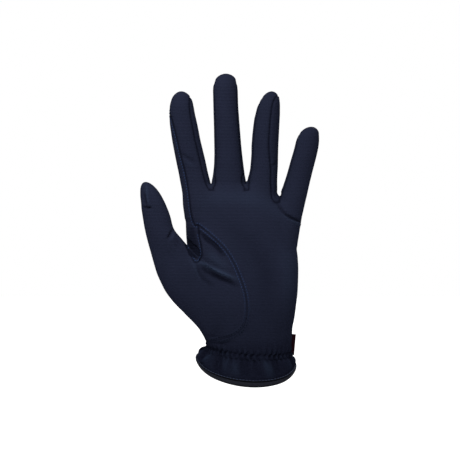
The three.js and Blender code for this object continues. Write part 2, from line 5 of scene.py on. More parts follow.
import bpy
import numpy as np
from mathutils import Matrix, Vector


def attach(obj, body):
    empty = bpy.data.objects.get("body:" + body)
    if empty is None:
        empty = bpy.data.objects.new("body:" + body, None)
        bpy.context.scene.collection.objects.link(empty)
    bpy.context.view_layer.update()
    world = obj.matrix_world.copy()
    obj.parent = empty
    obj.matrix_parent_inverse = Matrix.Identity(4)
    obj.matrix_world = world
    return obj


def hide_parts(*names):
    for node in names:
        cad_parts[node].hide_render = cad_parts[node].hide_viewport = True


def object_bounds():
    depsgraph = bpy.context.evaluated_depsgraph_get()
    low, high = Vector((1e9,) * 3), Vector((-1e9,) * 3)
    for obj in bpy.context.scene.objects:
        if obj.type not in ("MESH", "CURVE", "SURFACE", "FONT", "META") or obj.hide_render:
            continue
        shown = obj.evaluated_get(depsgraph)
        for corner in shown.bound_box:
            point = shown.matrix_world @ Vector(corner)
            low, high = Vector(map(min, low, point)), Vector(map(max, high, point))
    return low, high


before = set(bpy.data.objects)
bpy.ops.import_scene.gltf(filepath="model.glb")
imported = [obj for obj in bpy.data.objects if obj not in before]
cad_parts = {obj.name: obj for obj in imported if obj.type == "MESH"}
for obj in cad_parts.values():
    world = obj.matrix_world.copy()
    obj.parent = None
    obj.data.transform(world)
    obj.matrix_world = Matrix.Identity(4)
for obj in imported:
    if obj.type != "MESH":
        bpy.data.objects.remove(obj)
cad_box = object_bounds()

MM = 0.001
GRID = 0.8
BOX_MARGIN = 3
FAR = 150

# Leather
LEATHER = 1.3
SEAM_GAP = 0.02
SEAM_ROLL = 0.6
SEAM_ROLL_WIDTH = 0.8
BAND_HALF = 2.2
BAND_RAISE = 0.45
WAVE_HEIGHT = 0.12
WAVE_SIZE = 14
WAVE_SEED = 3
SHARP_ANGLE = 50

# Sewing. Two rows follow the thumb's seam, and one the seams of the index finger and of the thumb's crotch.
BAND_STITCH = 1.4
INDEX_STITCH = 0.9
STITCH_NEAR = 1.8
BAND_FRONT = -4
STITCH_LENGTH = 1.45
INDEX_STITCH_LENGTH = 1.4
HEM_STITCH_LENGTH = 2
STITCH_PITCH = 2.05
HEM_STITCH_PITCH = 2.4
THREAD = 0.3
HEM_THREAD = 0.34

# Hand
PALM_WIDTH = 81
PALM_DEPTH = 32
PALM_BASE = 41.4
PALM_SQUARENESS = 0.86
CROTCH_HEIGHT = 151.2
WEB_DROP = 2.2
CURL = 9
CURL_START = 135
CURL_REACH = 96

# Cuff
WRIST_LEFT = 28.6
WRIST_RIGHT = 33.3
WRIST_DEPTH = 42
HEM_WIDTH = 72.4
HEM_DEPTH = 52.4
GATHER_HEIGHT = 27.4
GATHER_DROP = 4.5
GATHER_LEAN = 2.2
HEM_DROP = 15.8
HEM_LEAN = 3.2
HEM_BACK_RISE = 4.2
BINDING_THICKNESS = 0.8
BINDING_HEIGHT = 3.5
BINDING_GAP = 0.3
PUCKERS = 44
PUCKER_DEPTH = 0.8
SHIRRING_SPACING = 3.8
SHIRRING_DROP = 2.6
SHIRRING_PINCH = 0.5
SHIRRING_WIDTH = 0.22
SKIRT_FOLD = 0.9

# Label tab
TAB_LENGTH = 15.5
TAB_REACH = 3
TAB_THICKNESS = 1.1
TAB_HEIGHT = 23
TAB_TILT = 5
TAB_BOW = 0.15


def table(columns, *rows):
    """Rows of numbers as named columns."""
    return {name: np.array(column, float) for name, column in zip(columns.split(), zip(*rows))}


# Outlines of the fingers. Root and tip are (x, z); cap is the round end's length. at: share of the way from
# root to tip; left and right: shares of the width from the line between root and tip; deep: share of the
# depth.
INDEX = {
    "root": (-37.3, 150), "tip": (-47.7, 218), "width": 21.5, "depth": 18.5, "cap": 14,
    "rows": table(
        "at left right deep",
        (-0.35, 0.46, 0.45, 0.85), (-0.225, 0.5, 0.5, 0.98), (-0.1, 0.505, 0.54, 1.06),
        (0.04, 0.519, 0.506, 1.05),
        (0.1, 0.526, 0.486, 1.03), (0.23, 0.552, 0.46, 1), (0.36, 0.568, 0.427, 0.98),
        (0.49, 0.581, 0.394, 0.97), (0.62, 0.576, 0.378, 0.95), (0.69, 0.561, 0.364, 0.94),
        (0.755, 0.54, 0.348, 0.92), (0.82, 0.502, 0.345, 0.9), (0.885, 0.472, 0.371, 0.88),
        (0.95, 0.455, 0.414, 0.86), (1, 0.44, 0.43, 0.85),
    ),
}
MIDDLE = {
    "root": (-12.6, 151.2), "tip": (-14.9, 230.9), "width": 20.4, "depth": 18, "cap": 13,
    "rows": table(
        "at left right deep",
        (-0.35, 0.55, 0.55, 0.9), (-0.1, 0.68, 0.68, 1.1), (0.016, 0.615, 0.61, 1.1),
        (0.071, 0.571, 0.58, 1.08), (0.18, 0.519, 0.533, 1.04), (0.29, 0.499, 0.498, 1),
        (0.41, 0.497, 0.471, 0.98), (0.57, 0.489, 0.436, 0.95), (0.74, 0.489, 0.414, 0.92),
        (0.85, 0.485, 0.414, 0.9), (0.907, 0.493, 0.439, 0.89), (0.963, 0.53, 0.515, 0.88),
        (1, 0.54, 0.54, 0.87),
    ),
}
RING = {
    "root": (12.1, 148), "tip": (19.2, 218), "width": 19.9, "depth": 17.5, "cap": 14,
    "rows": table(
        "at left right deep",
        (-0.4, 0.5, 0.5, 0.9), (-0.19, 0.6, 0.585, 1.1), (-0.06, 0.615, 0.575, 1.1),
        (0.063, 0.585, 0.533, 1.07), (0.127, 0.542, 0.518, 1.05), (0.19, 0.52, 0.507, 1.03),
        (0.32, 0.528, 0.472, 1), (0.44, 0.558, 0.442, 1), (0.57, 0.566, 0.415, 0.98),
        (0.7, 0.556, 0.392, 0.95), (0.76, 0.526, 0.381, 0.93), (0.825, 0.493, 0.362, 0.9),
        (0.888, 0.461, 0.367, 0.88), (0.951, 0.457, 0.403, 0.86), (1, 0.45, 0.42, 0.85),
    ),
}
LITTLE = {
    "root": (34.2, 138), "tip": (48.5, 192), "width": 18.6, "depth": 16.5, "cap": 12,
    "rows": table(
        "at left right deep",
        (-0.6, 0.3, 0.58, 0.85), (-0.39, 0.4, 0.575, 1.05), (-0.226, 0.46, 0.575, 1.08),
        (-0.06, 0.52, 0.56, 1.1), (0.06, 0.53, 0.55, 1.08), (0.103, 0.53, 0.545, 1.06),
        (0.185, 0.505, 0.533, 1.04), (0.35, 0.476, 0.522, 1.01), (0.51, 0.471, 0.519, 1),
        (0.68, 0.459, 0.508, 0.95), (0.76, 0.462, 0.481, 0.92), (0.843, 0.478, 0.45, 0.9),
        (0.884, 0.491, 0.451, 0.89), (0.925, 0.51, 0.475, 0.88), (1, 0.52, 0.485, 0.86),
    ),
}
# The thumb with its ball. forward: share of the thumb's reach in front of the hand.
THUMB = {
    "root": (-22.9, 32.6), "tip": (-73.3, 151), "width": 21.5, "depth": 20, "cap": 13, "forward": 20,
    "rows": table(
        "at left right forward deep",
        (0, 0.15, 0.1, 0, 1.2), (0.05, 0.27, 0.25, 0.05, 1.6), (0.112, 0.43, 0.64, 0.1, 1.8),
        (0.187, 0.66, 0.92, 0.18, 1.74), (0.262, 0.875, 1.03, 0.25, 1.62),
        (0.337, 0.978, 1.03, 0.3, 1.5), (0.412, 0.996, 0.96, 0.4, 1.34),
        (0.487, 0.953, 0.83, 0.5, 1.2), (0.562, 0.89, 0.59, 0.62, 1.1),
        (0.637, 0.825, 0.4, 0.75, 1.1), (0.712, 0.742, 0.26, 0.85, 1), (0.787, 0.635, 0.322, 0.9, 0.95),
        (0.825, 0.578, 0.338, 0.92, 0.94), (0.862, 0.507, 0.34, 0.95, 0.92), (0.9, 0.441, 0.326, 0.96, 0.88),
        (0.937, 0.393, 0.323, 0.98, 0.84), (0.975, 0.372, 0.323, 1, 0.78), (1, 0.36, 0.32, 1, 0.75),
    ),
}
FINGERS = (INDEX, MIDDLE, RING, LITTLE)

# The palm without the thumb. at: share of the way from the palm's base to the finger roots; left and right:
# shares of the palm's width; front and back: shares of its depth.
PALM_ROWS = table(
    "at left right front back",
    (0, 0.375, 0.4235, 0.67, 0.61), (0.081, 0.415, 0.443, 0.65, 0.58), (0.162, 0.445, 0.458, 0.63, 0.55),
    (0.283, 0.494, 0.474, 0.57, 0.51), (0.404, 0.515, 0.479, 0.52, 0.48), (0.485, 0.53, 0.474, 0.49, 0.465),
    (0.566, 0.538, 0.463, 0.47, 0.45), (0.6475, 0.546, 0.471, 0.455, 0.445),
    (0.729, 0.551, 0.475, 0.44, 0.435),
    (0.809, 0.56, 0.42, 0.42, 0.42), (0.89, 0.572, 0.32, 0.37, 0.38), (0.95, 0.575, 0.25, 0.29, 0.3),
    (0.983, 0.54, 0.21, 0.2, 0.2), (1, 0.46, 0.18, 0.09, 0.09),
)

# The cuff from its hem (at 0) over the gathered wrist (at 1) to the palm's base (at 2). flare: share of the
# way from wrist to hem; pucker: share of the puckers' depth; fold: share of the skirt folds' depth.
CUFF_ROWS = table(
    "at flare pucker fold",
    (-1, 1.2, 0, 0.6), (0, 1, 0, 0.6), (0.3, 0.95, 0.02, 0.8), (0.6, 0.68, 0.12, 1), (0.78, 0.3, 0.7, 0.7),
    (0.84, 0.2, 0.95, 0.5), (1, 0, 1, 0.1), (1.1, 0.04, 1, 0), (1.2, 0.06, 0.65, 0), (1.36, 0.02, 0.15, 0),
    (1.6, 0.02, 0.03, 0), (2, 0, 0, 0),
)

# The curved seam that sets the thumb in, the thumb's own seam round the crotch, and the seam on the front of
# the index finger, left of which the back of the glove wraps round. All are (x, z) as seen from the palm.
THUMB_SEAM = (
    (-35.5, 119.1), (-29.6, 114.8), (-22.7, 108.9), (-15.5, 101.5), (-9.3, 91.8), (-4.1, 79.9), (-1.1, 71),
    (0.6, 61.4), (0.3, 52), (-2.2, 44.2), (-8.9, 38.3), (-21.5, 34.6), (-30.4, 33.3),
)
THUMB_CROTCH = (
    (-43.5, 104), (-40.3, 96.6), (-38, 91.8), (-34.6, 92.6), (-32.7, 97.6), (-33.4, 103.8), (-35, 112),
)
INDEX_SEAM = (
    (-57.2, 203), (-56.4, 200.4), (-54.9, 196.4), (-51.4, 183.5), (-48.3, 170), (-45.1, 157.7),
    (-42.6, 143.4), (-41.2, 130.5), (-39.4, 122), (-37.6, 118.5),
)

# Side strips between two fingers. at: share of the way from the finger's root to its tip; inside: share of
# the half width where the strip's edge lies; half: share of the finger's half depth that it covers each way.
STRIP_OVERLAP = 1.5


def strip(*rows):
    return table("at inside half", *rows)


INDEX_RIGHT = strip(
    (-0.074, 0.9, 1.3), (-0.05, 0.74, 1.3), (0.12, 0.68, 1.3), (0.35, 0.655, 1.3), (0.6, 0.647, 1.3),
    (0.8, 0.67, 1.3), (0.93, 0.71, 1.3), (0.975, 0.95, 1.3),
)
MIDDLE_LEFT = strip(
    (-0.078, 1.04, 1.3), (-0.06, 0.9, 1.3), (-0.029, 0.8, 1.3), (0.02, 0.82, 1.3), (0.05, 0.9, 0.46),
    (0.07, 0.6, 0.44), (0.12, 0.3, 0.42), (0.75, 0.1, 0.4), (0.93, 0.1, 0.1),
)
MIDDLE_RIGHT = strip(
    (-0.078, 0.86, 1.3), (-0.01, 0.78, 1.3), (0.035, 0.8, 1.3), (0.07, 0.92, 0.46), (0.09, 0.6, 0.44),
    (0.12, 0.3, 0.42), (0.75, 0.1, 0.4), (0.93, 0.1, 0.1),
)
RING_LEFT = strip(
    (-0.05, 1.04, 1.3), (0.0, 0.95, 1.3), (0.035, 0.89, 1.3), (0.08, 0.92, 0.46), (0.1, 0.6, 0.44),
    (0.15, 0.3, 0.42), (0.75, 0.1, 0.4), (0.93, 0.1, 0.1),
)
RING_RIGHT = strip(
    (-0.17, 0.86, 1.3), (-0.13, 0.7, 1.3), (0.0, 0.6, 1.3), (0.14, 0.54, 1.3), (0.32, 0.36, 1.3),
    (0.5, 0.27, 1.3), (0.7, 0.27, 1.3), (0.85, 0.3, 1.3), (0.93, 0.46, 1.3), (0.975, 0.85, 1.3),
)
LITTLE_LEFT = strip(
    (-0.045, 1.05, 1.3), (-0.01, 1.0, 1.3), (0.054, 0.97, 1.3), (0.09, 0.94, 0.46), (0.14, 0.6, 0.44),
    (0.2, 0.3, 0.42), (0.7, 0.1, 0.4), (0.9, 0.1, 0.1),
)
STRIPS = {
    "fourchette_index_middle": (INDEX, INDEX_RIGHT, MIDDLE, MIDDLE_LEFT),
    "fourchette_middle_ring": (MIDDLE, MIDDLE_RIGHT, RING, RING_LEFT),
    "fourchette_ring_little": (RING, RING_RIGHT, LITTLE, LITTLE_LEFT),
}

# Folds pressed into the front of the leather: name, height above the skin (below zero where sunk), half
# width, and a line of (x, z) as seen from the palm.
FOLDS = (
    ("little finger root", -2.1, 1.1, ((23.9, 134.6), (28.3, 127.5), (34.6, 123.6), (42.5, 120.6))),
    ("lip under the little finger", 1.5, 1.1, ((25.5, 130.4), (29.6, 125.2), (35.2, 121.7), (42.5, 118.8))),
    ("index joint", -0.9, 1.4, ((-48.2, 171.9), (-43.4, 168.7), (-37, 165))),
    ("under the index joint", 0.5, 2.2, ((-46.5, 167.2), (-42, 164.2), (-37, 161.5))),
    ("ring joint", -0.5, 1.1, ((18.5, 161.3), (21.5, 164), (24, 167.2))),
    ("thumb joint", -1.5, 1.0, ((-53.6, 115.6), (-55.4, 112.4), (-57.8, 108.6))),
    ("beside the thumb joint", 0.7, 1.4, ((-52.4, 112.6), (-53.8, 109.8), (-55.4, 107.4))),
    ("first web crease", -0.7, 0.7, ((-51.2, 108.3), (-49.4, 105.9), (-47.6, 103.4))),
    ("second web crease", -0.7, 0.7, ((-52.8, 106.6), (-51, 104), (-49.2, 101.6))),
    ("thumb tip tuck", 1.3, 1.1, ((-73, 148.6), (-72.3, 141), (-71.4, 133.6))),
    ("left of the tuck", -1.3, 0.9, ((-74.6, 142), (-74, 137), (-73.2, 132.6))),
    ("end of the tuck", -1.8, 0.8, ((-75.6, 132.2), (-72.6, 131.6), (-69.2, 131.9))),
    ("edge of the thumb", 1.0, 1.8, (
        (-42.2, 100.4), (-38.6, 90.6), (-35.4, 84.4), (-31.6, 79.6), (-27, 76))),
    ("right of the thumb's edge", -1.5, 1.5, ((-36, 87.6), (-33.2, 82.6), (-29.4, 78.2), (-24, 74.6))),
    ("long ridge", 3.2, 1.5, ((-36.5, 92.2), (-29.2, 88.9), (-20.2, 84.7), (-12, 81.3), (-7, 79))),
    ("long valley", -2.0, 1.5, ((-31.4, 87.4), (-22.1, 81.8), (-16.9, 79.2), (-11.7, 77), (-6, 73.6))),
    ("hollow under the seam", -2.5, 1.5, (
        (-34.4, 113.4), (-29.2, 108.3), (-24.6, 105.4), (-21.1, 102.2), (-16.5, 96.6))),
    ("swell between the folds", 0.9, 3.4, ((-29, 98.4), (-21, 92.2), (-14, 86.6))),
    ("upper heel crease", -0.7, 1.1, ((-27.5, 38.2), (-20, 36.6), (-11, 37.4))),
    ("lower heel crease", -0.7, 1.1, ((-26.5, 33.2), (-18, 32.2), (-8, 33.4))),
    ("middle of the palm", -0.8, 9, ((-18, 124), (4, 104), (16, 78), (14, 54))),
    ("pads below the fingers", 0.6, 6, ((-34, 136), (-12, 139), (12, 136), (30, 122))),
    ("outer edge of the hand", 0.6, 8, ((30, 104), (31, 84), (28, 60))),
    ("left end of the cuff", 1.1, 1.0, ((-24, 25), (-27, 21.8), (-31, 19.6), (-35.5, 18.4))),
)

# Hollows between thumb and index finger: how dark their painted shade is, how deep, over what distance the
# edge fades, and the outline as (x, z).
HOLLOWS = (
    (0.97, 4.2, 1.0, (
        (-43.8, 104.8), (-41.4, 97.2), (-39.6, 95.6), (-34.9, 95), (-34.3, 99.6), (-36.4, 102.6),
        (-39.6, 104.4), (-42.6, 108))),
    (0.4, 0.6, 2.4, (
        (-43, 104), (-40.8, 97), (-34.8, 95.4), (-35, 104), (-37, 111), (-39, 117), (-42, 117))),
)
WEB_MIDDLE = (-38.6, 98.4)


def smooth_step(low, high, value):
    share = np.clip((value - low) / (high - low), 0, 1)
    return share * share * (3 - 2 * share)


def mix(a, b, share):
    return a + (b - a) * share


def smooth_union(a, b, reach):
    """The nearer of two surfaces, blended where they lie within reach of each other."""
    share = np.clip(0.5 + 0.5 * (b - a) / reach, 0, 1)
    return mix(b, a, share) - reach * share * (1 - share)


def column(rows, key, place):
    """A column of a table at a place: a smooth curve that never overshoots its rows."""
    x, y = rows["at"], rows[key]
    step = np.diff(x)
    rise = np.diff(y) / step
    slope = np.zeros_like(y)
    both = rise[:-1] * rise[1:]
    total = rise[:-1] + rise[1:]
    slope[1:-1] = np.where(both > 0, 2 * both / np.where(total == 0, 1, total), 0)
    place = np.clip(place, x[0], x[-1])
    i = np.clip(np.searchsorted(x, place) - 1, 0, len(x) - 2)
    t = (place - x[i]) / step[i]
    ends = y[i] * (1 + 2 * t) * (1 - t) ** 2 + y[i + 1] * t * t * (3 - 2 * t)
    return ends + step[i] * t * (1 - t) * (slope[i] * (1 - t) - slope[i + 1] * t)


def curl_at(z):
    """How far forward the middle of the hand lies: the fingers curl a little towards the palm."""
    return -CURL * np.maximum(0, (z - CURL_START) / CURL_REACH) ** 2


def finger_section(finger, z):
    """Left edge, right edge, middle and half depth of a finger at a height."""
    (root_x, root_z), (tip_x, tip_z) = finger["root"], finger["tip"]
    at = (z - root_z) / (tip_z - root_z)
    axis = mix(root_x, tip_x, np.minimum(at, 1))
    rows = finger["rows"]
    left = axis - finger["width"] * column(rows, "left", at)
    right = axis + finger["width"] * column(rows, "right", at)
    if "forward" in finger:
        middle = -finger["forward"] * column(rows, "forward", at)
    else:
        middle = curl_at(z)
    return left, right, middle, finger["depth"] / 2 * column(rows, "deep", at)


def finger_field(finger, x, y, z):
    """Signed distance to a finger, which is below zero inside."""
    left, right, middle, half = finger_section(finger, z)
    across = (right - left) / 2
    u = (x - (left + right) / 2) / across
    v = (y - middle) / half
    cap = np.maximum(0, (z - finger["tip"][1]) / finger["cap"] + 1)
    radius = np.sqrt(u * u + v * v + cap * cap) + 1e-9
    slope = np.sqrt((u / across) ** 2 + (v / half) ** 2 + (cap / finger["cap"]) ** 2) / radius
    floor = mix(finger["root"][1], finger["tip"][1], finger["rows"]["at"][0])
    return np.maximum((radius - 1) / np.maximum(slope, 1 / finger["width"]), floor - z)


def rounded_field(x, y, left, right, deep, power):
    """Signed distance to a superellipse between two edges."""
    across = (right - left) / 2
    u = np.abs(x - (left + right) / 2) / across
    v = np.abs(y) / deep
    n = 2 / power
    radius = (u ** n + v ** n) ** (1 / n) + 1e-9
    slope = np.sqrt(((u / radius) ** (n - 1) / across) ** 2 + ((v / radius) ** (n - 1) / deep) ** 2)
    return (radius - 1) / np.maximum(slope, 1 / PALM_WIDTH)


def palm_field(x, y, z):
    at = (z - PALM_BASE) / (CROTCH_HEIGHT - PALM_BASE)
    y = y - curl_at(z)
    deep = PALM_DEPTH * np.where(y < 0, column(PALM_ROWS, "front", at), column(PALM_ROWS, "back", at))
    left = -PALM_WIDTH * column(PALM_ROWS, "left", at)
    right = PALM_WIDTH * column(PALM_ROWS, "right", at)
    return np.maximum(rounded_field(x, y, left, right, deep, PALM_SQUARENESS), z - CROTCH_HEIGHT + WEB_DROP)


def turn_of(x, y):
    """Angle of a place round the cuff."""
    return np.arctan2(y / HEM_DEPTH, x / HEM_WIDTH)


def around(x, y):
    """Direction of a place round the cuff as a cosine and a sine."""
    turn = turn_of(x, y)
    return np.cos(turn), np.sin(turn)


HEM_SIDE = math.hypot(HEM_DROP, HEM_LEAN) + BINDING_GAP + BINDING_THICKNESS


def hem_height(c, s):
    return HEM_SIDE - HEM_LEAN * c + mix(HEM_DROP, HEM_BACK_RISE, smooth_step(-0.7, 0.7, s)) * s


def gather_height(c, s):
    return GATHER_HEIGHT - GATHER_LEAN * c + GATHER_DROP * s


def cuff_place(x, y, z):
    """Where a point lies on the cuff: 0 at the hem, 1 at the gathers, 2 at the palm's base."""
    c, s = around(x, y)
    hem, gather = hem_height(c, s), gather_height(c, s)
    return np.where(z < gather, (z - hem) / (gather - hem), 1 + (z - gather) / (PALM_BASE - gather))


def cuff_field(x, y, z):
    at = cuff_place(x, y, z)
    rise = np.clip(at - 1, 0, 1)
    flare = column(CUFF_ROWS, "flare", at)
    front, back = (PALM_ROWS[side][0] * PALM_DEPTH for side in ("front", "back"))
    left = mix(mix(WRIST_LEFT, PALM_WIDTH * PALM_ROWS["left"][0], rise), HEM_WIDTH / 2, flare)
    right = mix(mix(WRIST_RIGHT, PALM_WIDTH * PALM_ROWS["right"][0], rise), HEM_WIDTH / 2, flare)
    deep = mix(mix(WRIST_DEPTH / 2, np.where(y < 0, front, back), rise), HEM_DEPTH / 2, flare)
    power = mix(1, PALM_SQUARENESS, np.minimum(rise * 1.5, 1))
    return rounded_field(x, y, -left, right, deep, power)


# How far the parts of the hand blend into one another, and the heights, depths and distances over which the
# tighter blends of the crotches give way to the softer ones.
FINGER_BLEND = 0.4
PALM_BLEND = 5
CROTCH_BLEND = 1.2
CROTCH_HEIGHTS = (128, 144)
CROTCH_DEPTHS = (5, 9)
WEB_BLEND = 1.2
BALL_BLEND = 7
WEB_DISTANCES = (8, 26)


def glove_field(x, y, z):
    """Signed distance to the glove's outer surface."""
    hand = np.where(z < PALM_BASE, cuff_field(x, y, np.minimum(z, PALM_BASE)), palm_field(x, y, z))
    fingers = finger_field(INDEX, x, y, z)
    for finger in FINGERS[1:]:
        fingers = smooth_union(fingers, finger_field(finger, x, y, z), FINGER_BLEND)
    between = smooth_step(*CROTCH_HEIGHTS, z) * (1 - smooth_step(*CROTCH_DEPTHS, np.abs(y - curl_at(z))))
    hand = smooth_union(hand, fingers, mix(PALM_BLEND, CROTCH_BLEND, between))
    near_web = np.hypot(x - WEB_MIDDLE[0], z - WEB_MIDDLE[1])
    blend = mix(WEB_BLEND, BALL_BLEND, smooth_step(*WEB_DISTANCES, near_web))
    return smooth_union(hand, finger_field(THUMB, x, y, z), blend)


def slope_of(field, points, reach=0.3):
    """Direction in which a field grows fastest."""
    result = np.empty_like(points)
    for axis in range(3):
        move = np.zeros(3)
        move[axis] = reach
        result[:, axis] = (field(*(points + move).T) - field(*(points - move).T)) / (2 * reach)
    return result


def unit(vectors):
    return vectors / np.maximum(np.linalg.norm(vectors, axis=1, keepdims=True), 1e-9)


def surface_net(field, low, high, step):
    """Points and quads of the surface where a field is zero."""
    axes = [np.arange(a, b + step, step) for a, b in zip(low, high)]
    slabs = [field(axes[0][:, None, None], axes[1][None, :, None], part[None, None, :])
             for part in np.array_split(axes[2], 8)]
    value = np.concatenate(slabs, axis=2)
    inside = value < 0
    corner = [(i, j, k) for i in (0, 1) for j in (0, 1) for k in (0, 1)]
    size = [n - 1 for n in value.shape]

    def shifted(array, i, j, k):
        return array[i:i + size[0], j:j + size[1], k:k + size[2]]

    count = sum(shifted(inside, *c).astype(np.int8) for c in corner)
    cells = np.argwhere((count > 0) & (count < 8))
    number = np.full(size, -1)
    number[tuple(cells.T)] = np.arange(len(cells))
    values = [value[tuple((cells + c).T)] for c in corner]
    total, hits = np.zeros((len(cells), 3)), np.zeros(len(cells))
    for a in range(8):
        for b in range(a + 1, 8):
            ends = np.array(corner[a]), np.array(corner[b])
            if np.abs(ends[0] - ends[1]).sum() != 1:
                continue
            crossed = (values[a] < 0) != (values[b] < 0)
            gap = np.where(crossed, values[a] - values[b], 1)
            share = np.where(crossed, values[a] / gap, 0)
            place = ends[0] + share[:, None] * (ends[1] - ends[0])
            total += place * crossed[:, None]
            hits += crossed
    points = np.array([a[0] for a in axes]) + step * (cells + total / hits[:, None])
    quads = []
    for axis in range(3):
        u, v = (axis + 1) % 3, (axis + 2) % 3
        first = np.take(inside, range(value.shape[axis] - 1), axis)
        second = np.take(inside, range(1, value.shape[axis]), axis)
        edges = np.argwhere(first != second)
        i, j = edges[:, u], edges[:, v]
        edges = edges[(i > 0) & (j > 0) & (i < size[u]) & (j < size[v])]
        going_out = first[tuple(edges.T)]
        ring = []
        for du, dv in ((1, 1), (0, 1), (0, 0), (1, 0)):
            cell = edges.copy()
            cell[:, u] -= du
            cell[:, v] -= dv
            ring.append(number[tuple(cell.T)])
        quad = np.stack(ring, axis=1)
        quads.append(np.where(going_out[:, None], quad, quad[:, ::-1]))
    return points, np.concatenate(quads)


def settle(points, rounds=3):
    """Moves points onto the glove's surface."""
    for _ in range(rounds):
        slope = slope_of(glove_field, points)
        length = np.maximum((slope ** 2).sum(axis=1), 0.2)
        move = np.clip(glove_field(*points.T) / length, -GRID / 2, GRID / 2)
        points = points - slope * move[:, None]
    return points


def curve_through(points, steps=8):
    """A smooth line through a few points."""
    p = np.array(points, float)
    p = np.vstack([2 * p[0] - p[1], p, 2 * p[-1] - p[-2]])
    line = []
    for a, b, c, d in zip(p, p[1:], p[2:], p[3:]):
        for t in np.arange(steps) / steps:
            line.append(0.5 * (2 * b + (c - a) * t + (2 * a - 5 * b + 4 * c - d) * t ** 2
                               + (3 * b - a - 3 * c + d) * t ** 3))
    line.append(p[-2])
    return np.array(line)


def lengths_of(line):
    """Distance along a line from its start to each of its points."""
    return np.concatenate([[0], np.cumsum(np.linalg.norm(np.diff(line, axis=0), axis=1))])


def along_line(line, x, z):
    """Distance from each place to a line, and the share of the line where it is nearest."""
    best = np.full(len(x), np.inf)
    share = np.zeros(len(x))
    lengths = lengths_of(line)
    for i, (a, b) in enumerate(zip(line, line[1:])):
        way = b - a
        t = np.clip(((x - a[0]) * way[0] + (z - a[1]) * way[1]) / (way @ way), 0, 1)
        gap = np.hypot(x - a[0] - t * way[0], z - a[1] - t * way[1])
        nearer = gap < best
        best = np.where(nearer, gap, best)
        share = np.where(nearer, (lengths[i] + t * (lengths[i + 1] - lengths[i])) / lengths[-1], share)
    return best, share


def inside_outline(outline, x, z):
    """Signed distance to an outline seen from the palm, above zero inside it."""
    closed = np.vstack([outline, outline[:1]])
    gap, _ = along_line(closed, x, z)
    inside = np.zeros(len(x), bool)
    for (ax, az), (bx, bz) in zip(closed, closed[1:]):
        if az == bz:
            continue
        inside ^= ((az > z) != (bz > z)) & (x < (bx - ax) * (z - az) / (bz - az) + ax)
    return np.where(inside, gap, -gap)


thumb_seam = curve_through(THUMB_SEAM)
thumb_crotch = curve_through(THUMB_CROTCH)
index_seam = curve_through(INDEX_SEAM)


def on_palm_panel(x, y, z):
    top, bottom = FAR * 2, -FAR
    start_rise = 3
    seam = np.vstack([index_seam, thumb_seam])
    outline = np.vstack([
        [(-FAR, top), (-FAR, seam[0][1] + start_rise)],
        seam,
        [(-FAR, seam[-1][1]), (-FAR, bottom), (FAR, bottom), (FAR, top)],
    ])
    return np.minimum(inside_outline(outline, x, z), curl_at(z) - y)


def on_thumb_panel(x, y, z):
    clear = THUMB["width"] * 0.2
    heights = mix(THUMB["root"][1], THUMB["tip"][1], np.array([0.99, 0.9, 0.8, 0.72]))
    edge = finger_section(THUMB, heights)[1] + clear
    seam = np.vstack([thumb_crotch, thumb_seam])
    top = THUMB["tip"][1] + clear
    outline = np.vstack([
        [(-FAR, seam[-1][1]), (-FAR, top), (THUMB["tip"][0], top)],
        np.stack([edge, heights], axis=1),
        seam,
    ])
    sheet = finger_section(THUMB, z)[2] - y
    ball = np.minimum(x - THUMB_CROTCH[2][0] - LEATHER, -PALM_DEPTH * 0.1 - y)
    return np.minimum(inside_outline(outline, x, z), np.maximum(sheet, ball))


def on_strip(spec, x, y, z):
    left_finger, left_rows, right_finger, right_rows = spec

    def side(finger, rows, other, sign):
        low, high = (mix(finger["root"][1], finger["tip"][1], rows["at"][i]) for i in (0, -1))
        at = (z - finger["root"][1]) / (finger["tip"][1] - finger["root"][1])
        left, right, middle, half = finger_section(finger, z)
        far_left, far_right, _, _ = finger_section(other, z)
        edge, far = (right, far_left) if sign > 0 else (left, far_right)
        seam = mix((left + right) / 2, edge, column(rows, "inside", at))
        end = (edge + far) / 2 + sign * STRIP_OVERLAP
        high_enough = np.minimum(z - low, high - z)
        within = np.minimum(sign * (x - seam), half * column(rows, "half", at) - np.abs(y - middle))
        return np.minimum(np.minimum(within, sign * (end - x)), high_enough)

    on_left = side(left_finger, left_rows, right_finger, 1)
    on_right = side(right_finger, right_rows, left_finger, -1)
    return np.maximum(on_left, on_right)


def panels(points):
    """For each panel how far inside its seams each point lies."""
    x, y, z = points.T
    strips = {name: on_strip(spec, x, y, z) for name, spec in STRIPS.items()}
    off_strips = -np.max(list(strips.values()), axis=0)
    palm = on_palm_panel(x, y, z)
    thumb = np.minimum(on_thumb_panel(x, y, z), -palm)
    result = dict(strips)
    result["palm_panel"] = np.minimum(palm, off_strips)
    result["thumb_panel"] = np.minimum(thumb, off_strips)
    result["back_panel"] = np.minimum(np.minimum(-palm, -thumb), off_strips)
    return result


def used_only(points, triangles):
    """A mesh without the points that no triangle uses."""
    used, inverse = np.unique(triangles, return_inverse=True)
    return points[used], inverse.reshape(-1, 3)


def crossing_of(points, value, a, b):
    """The edge between two points as a key, and the place on it where a value is zero."""
    first, second = min(a, b), max(a, b)
    share = value[first] / (value[first] - value[second])
    return (first, second), mix(points[first], points[second], share)


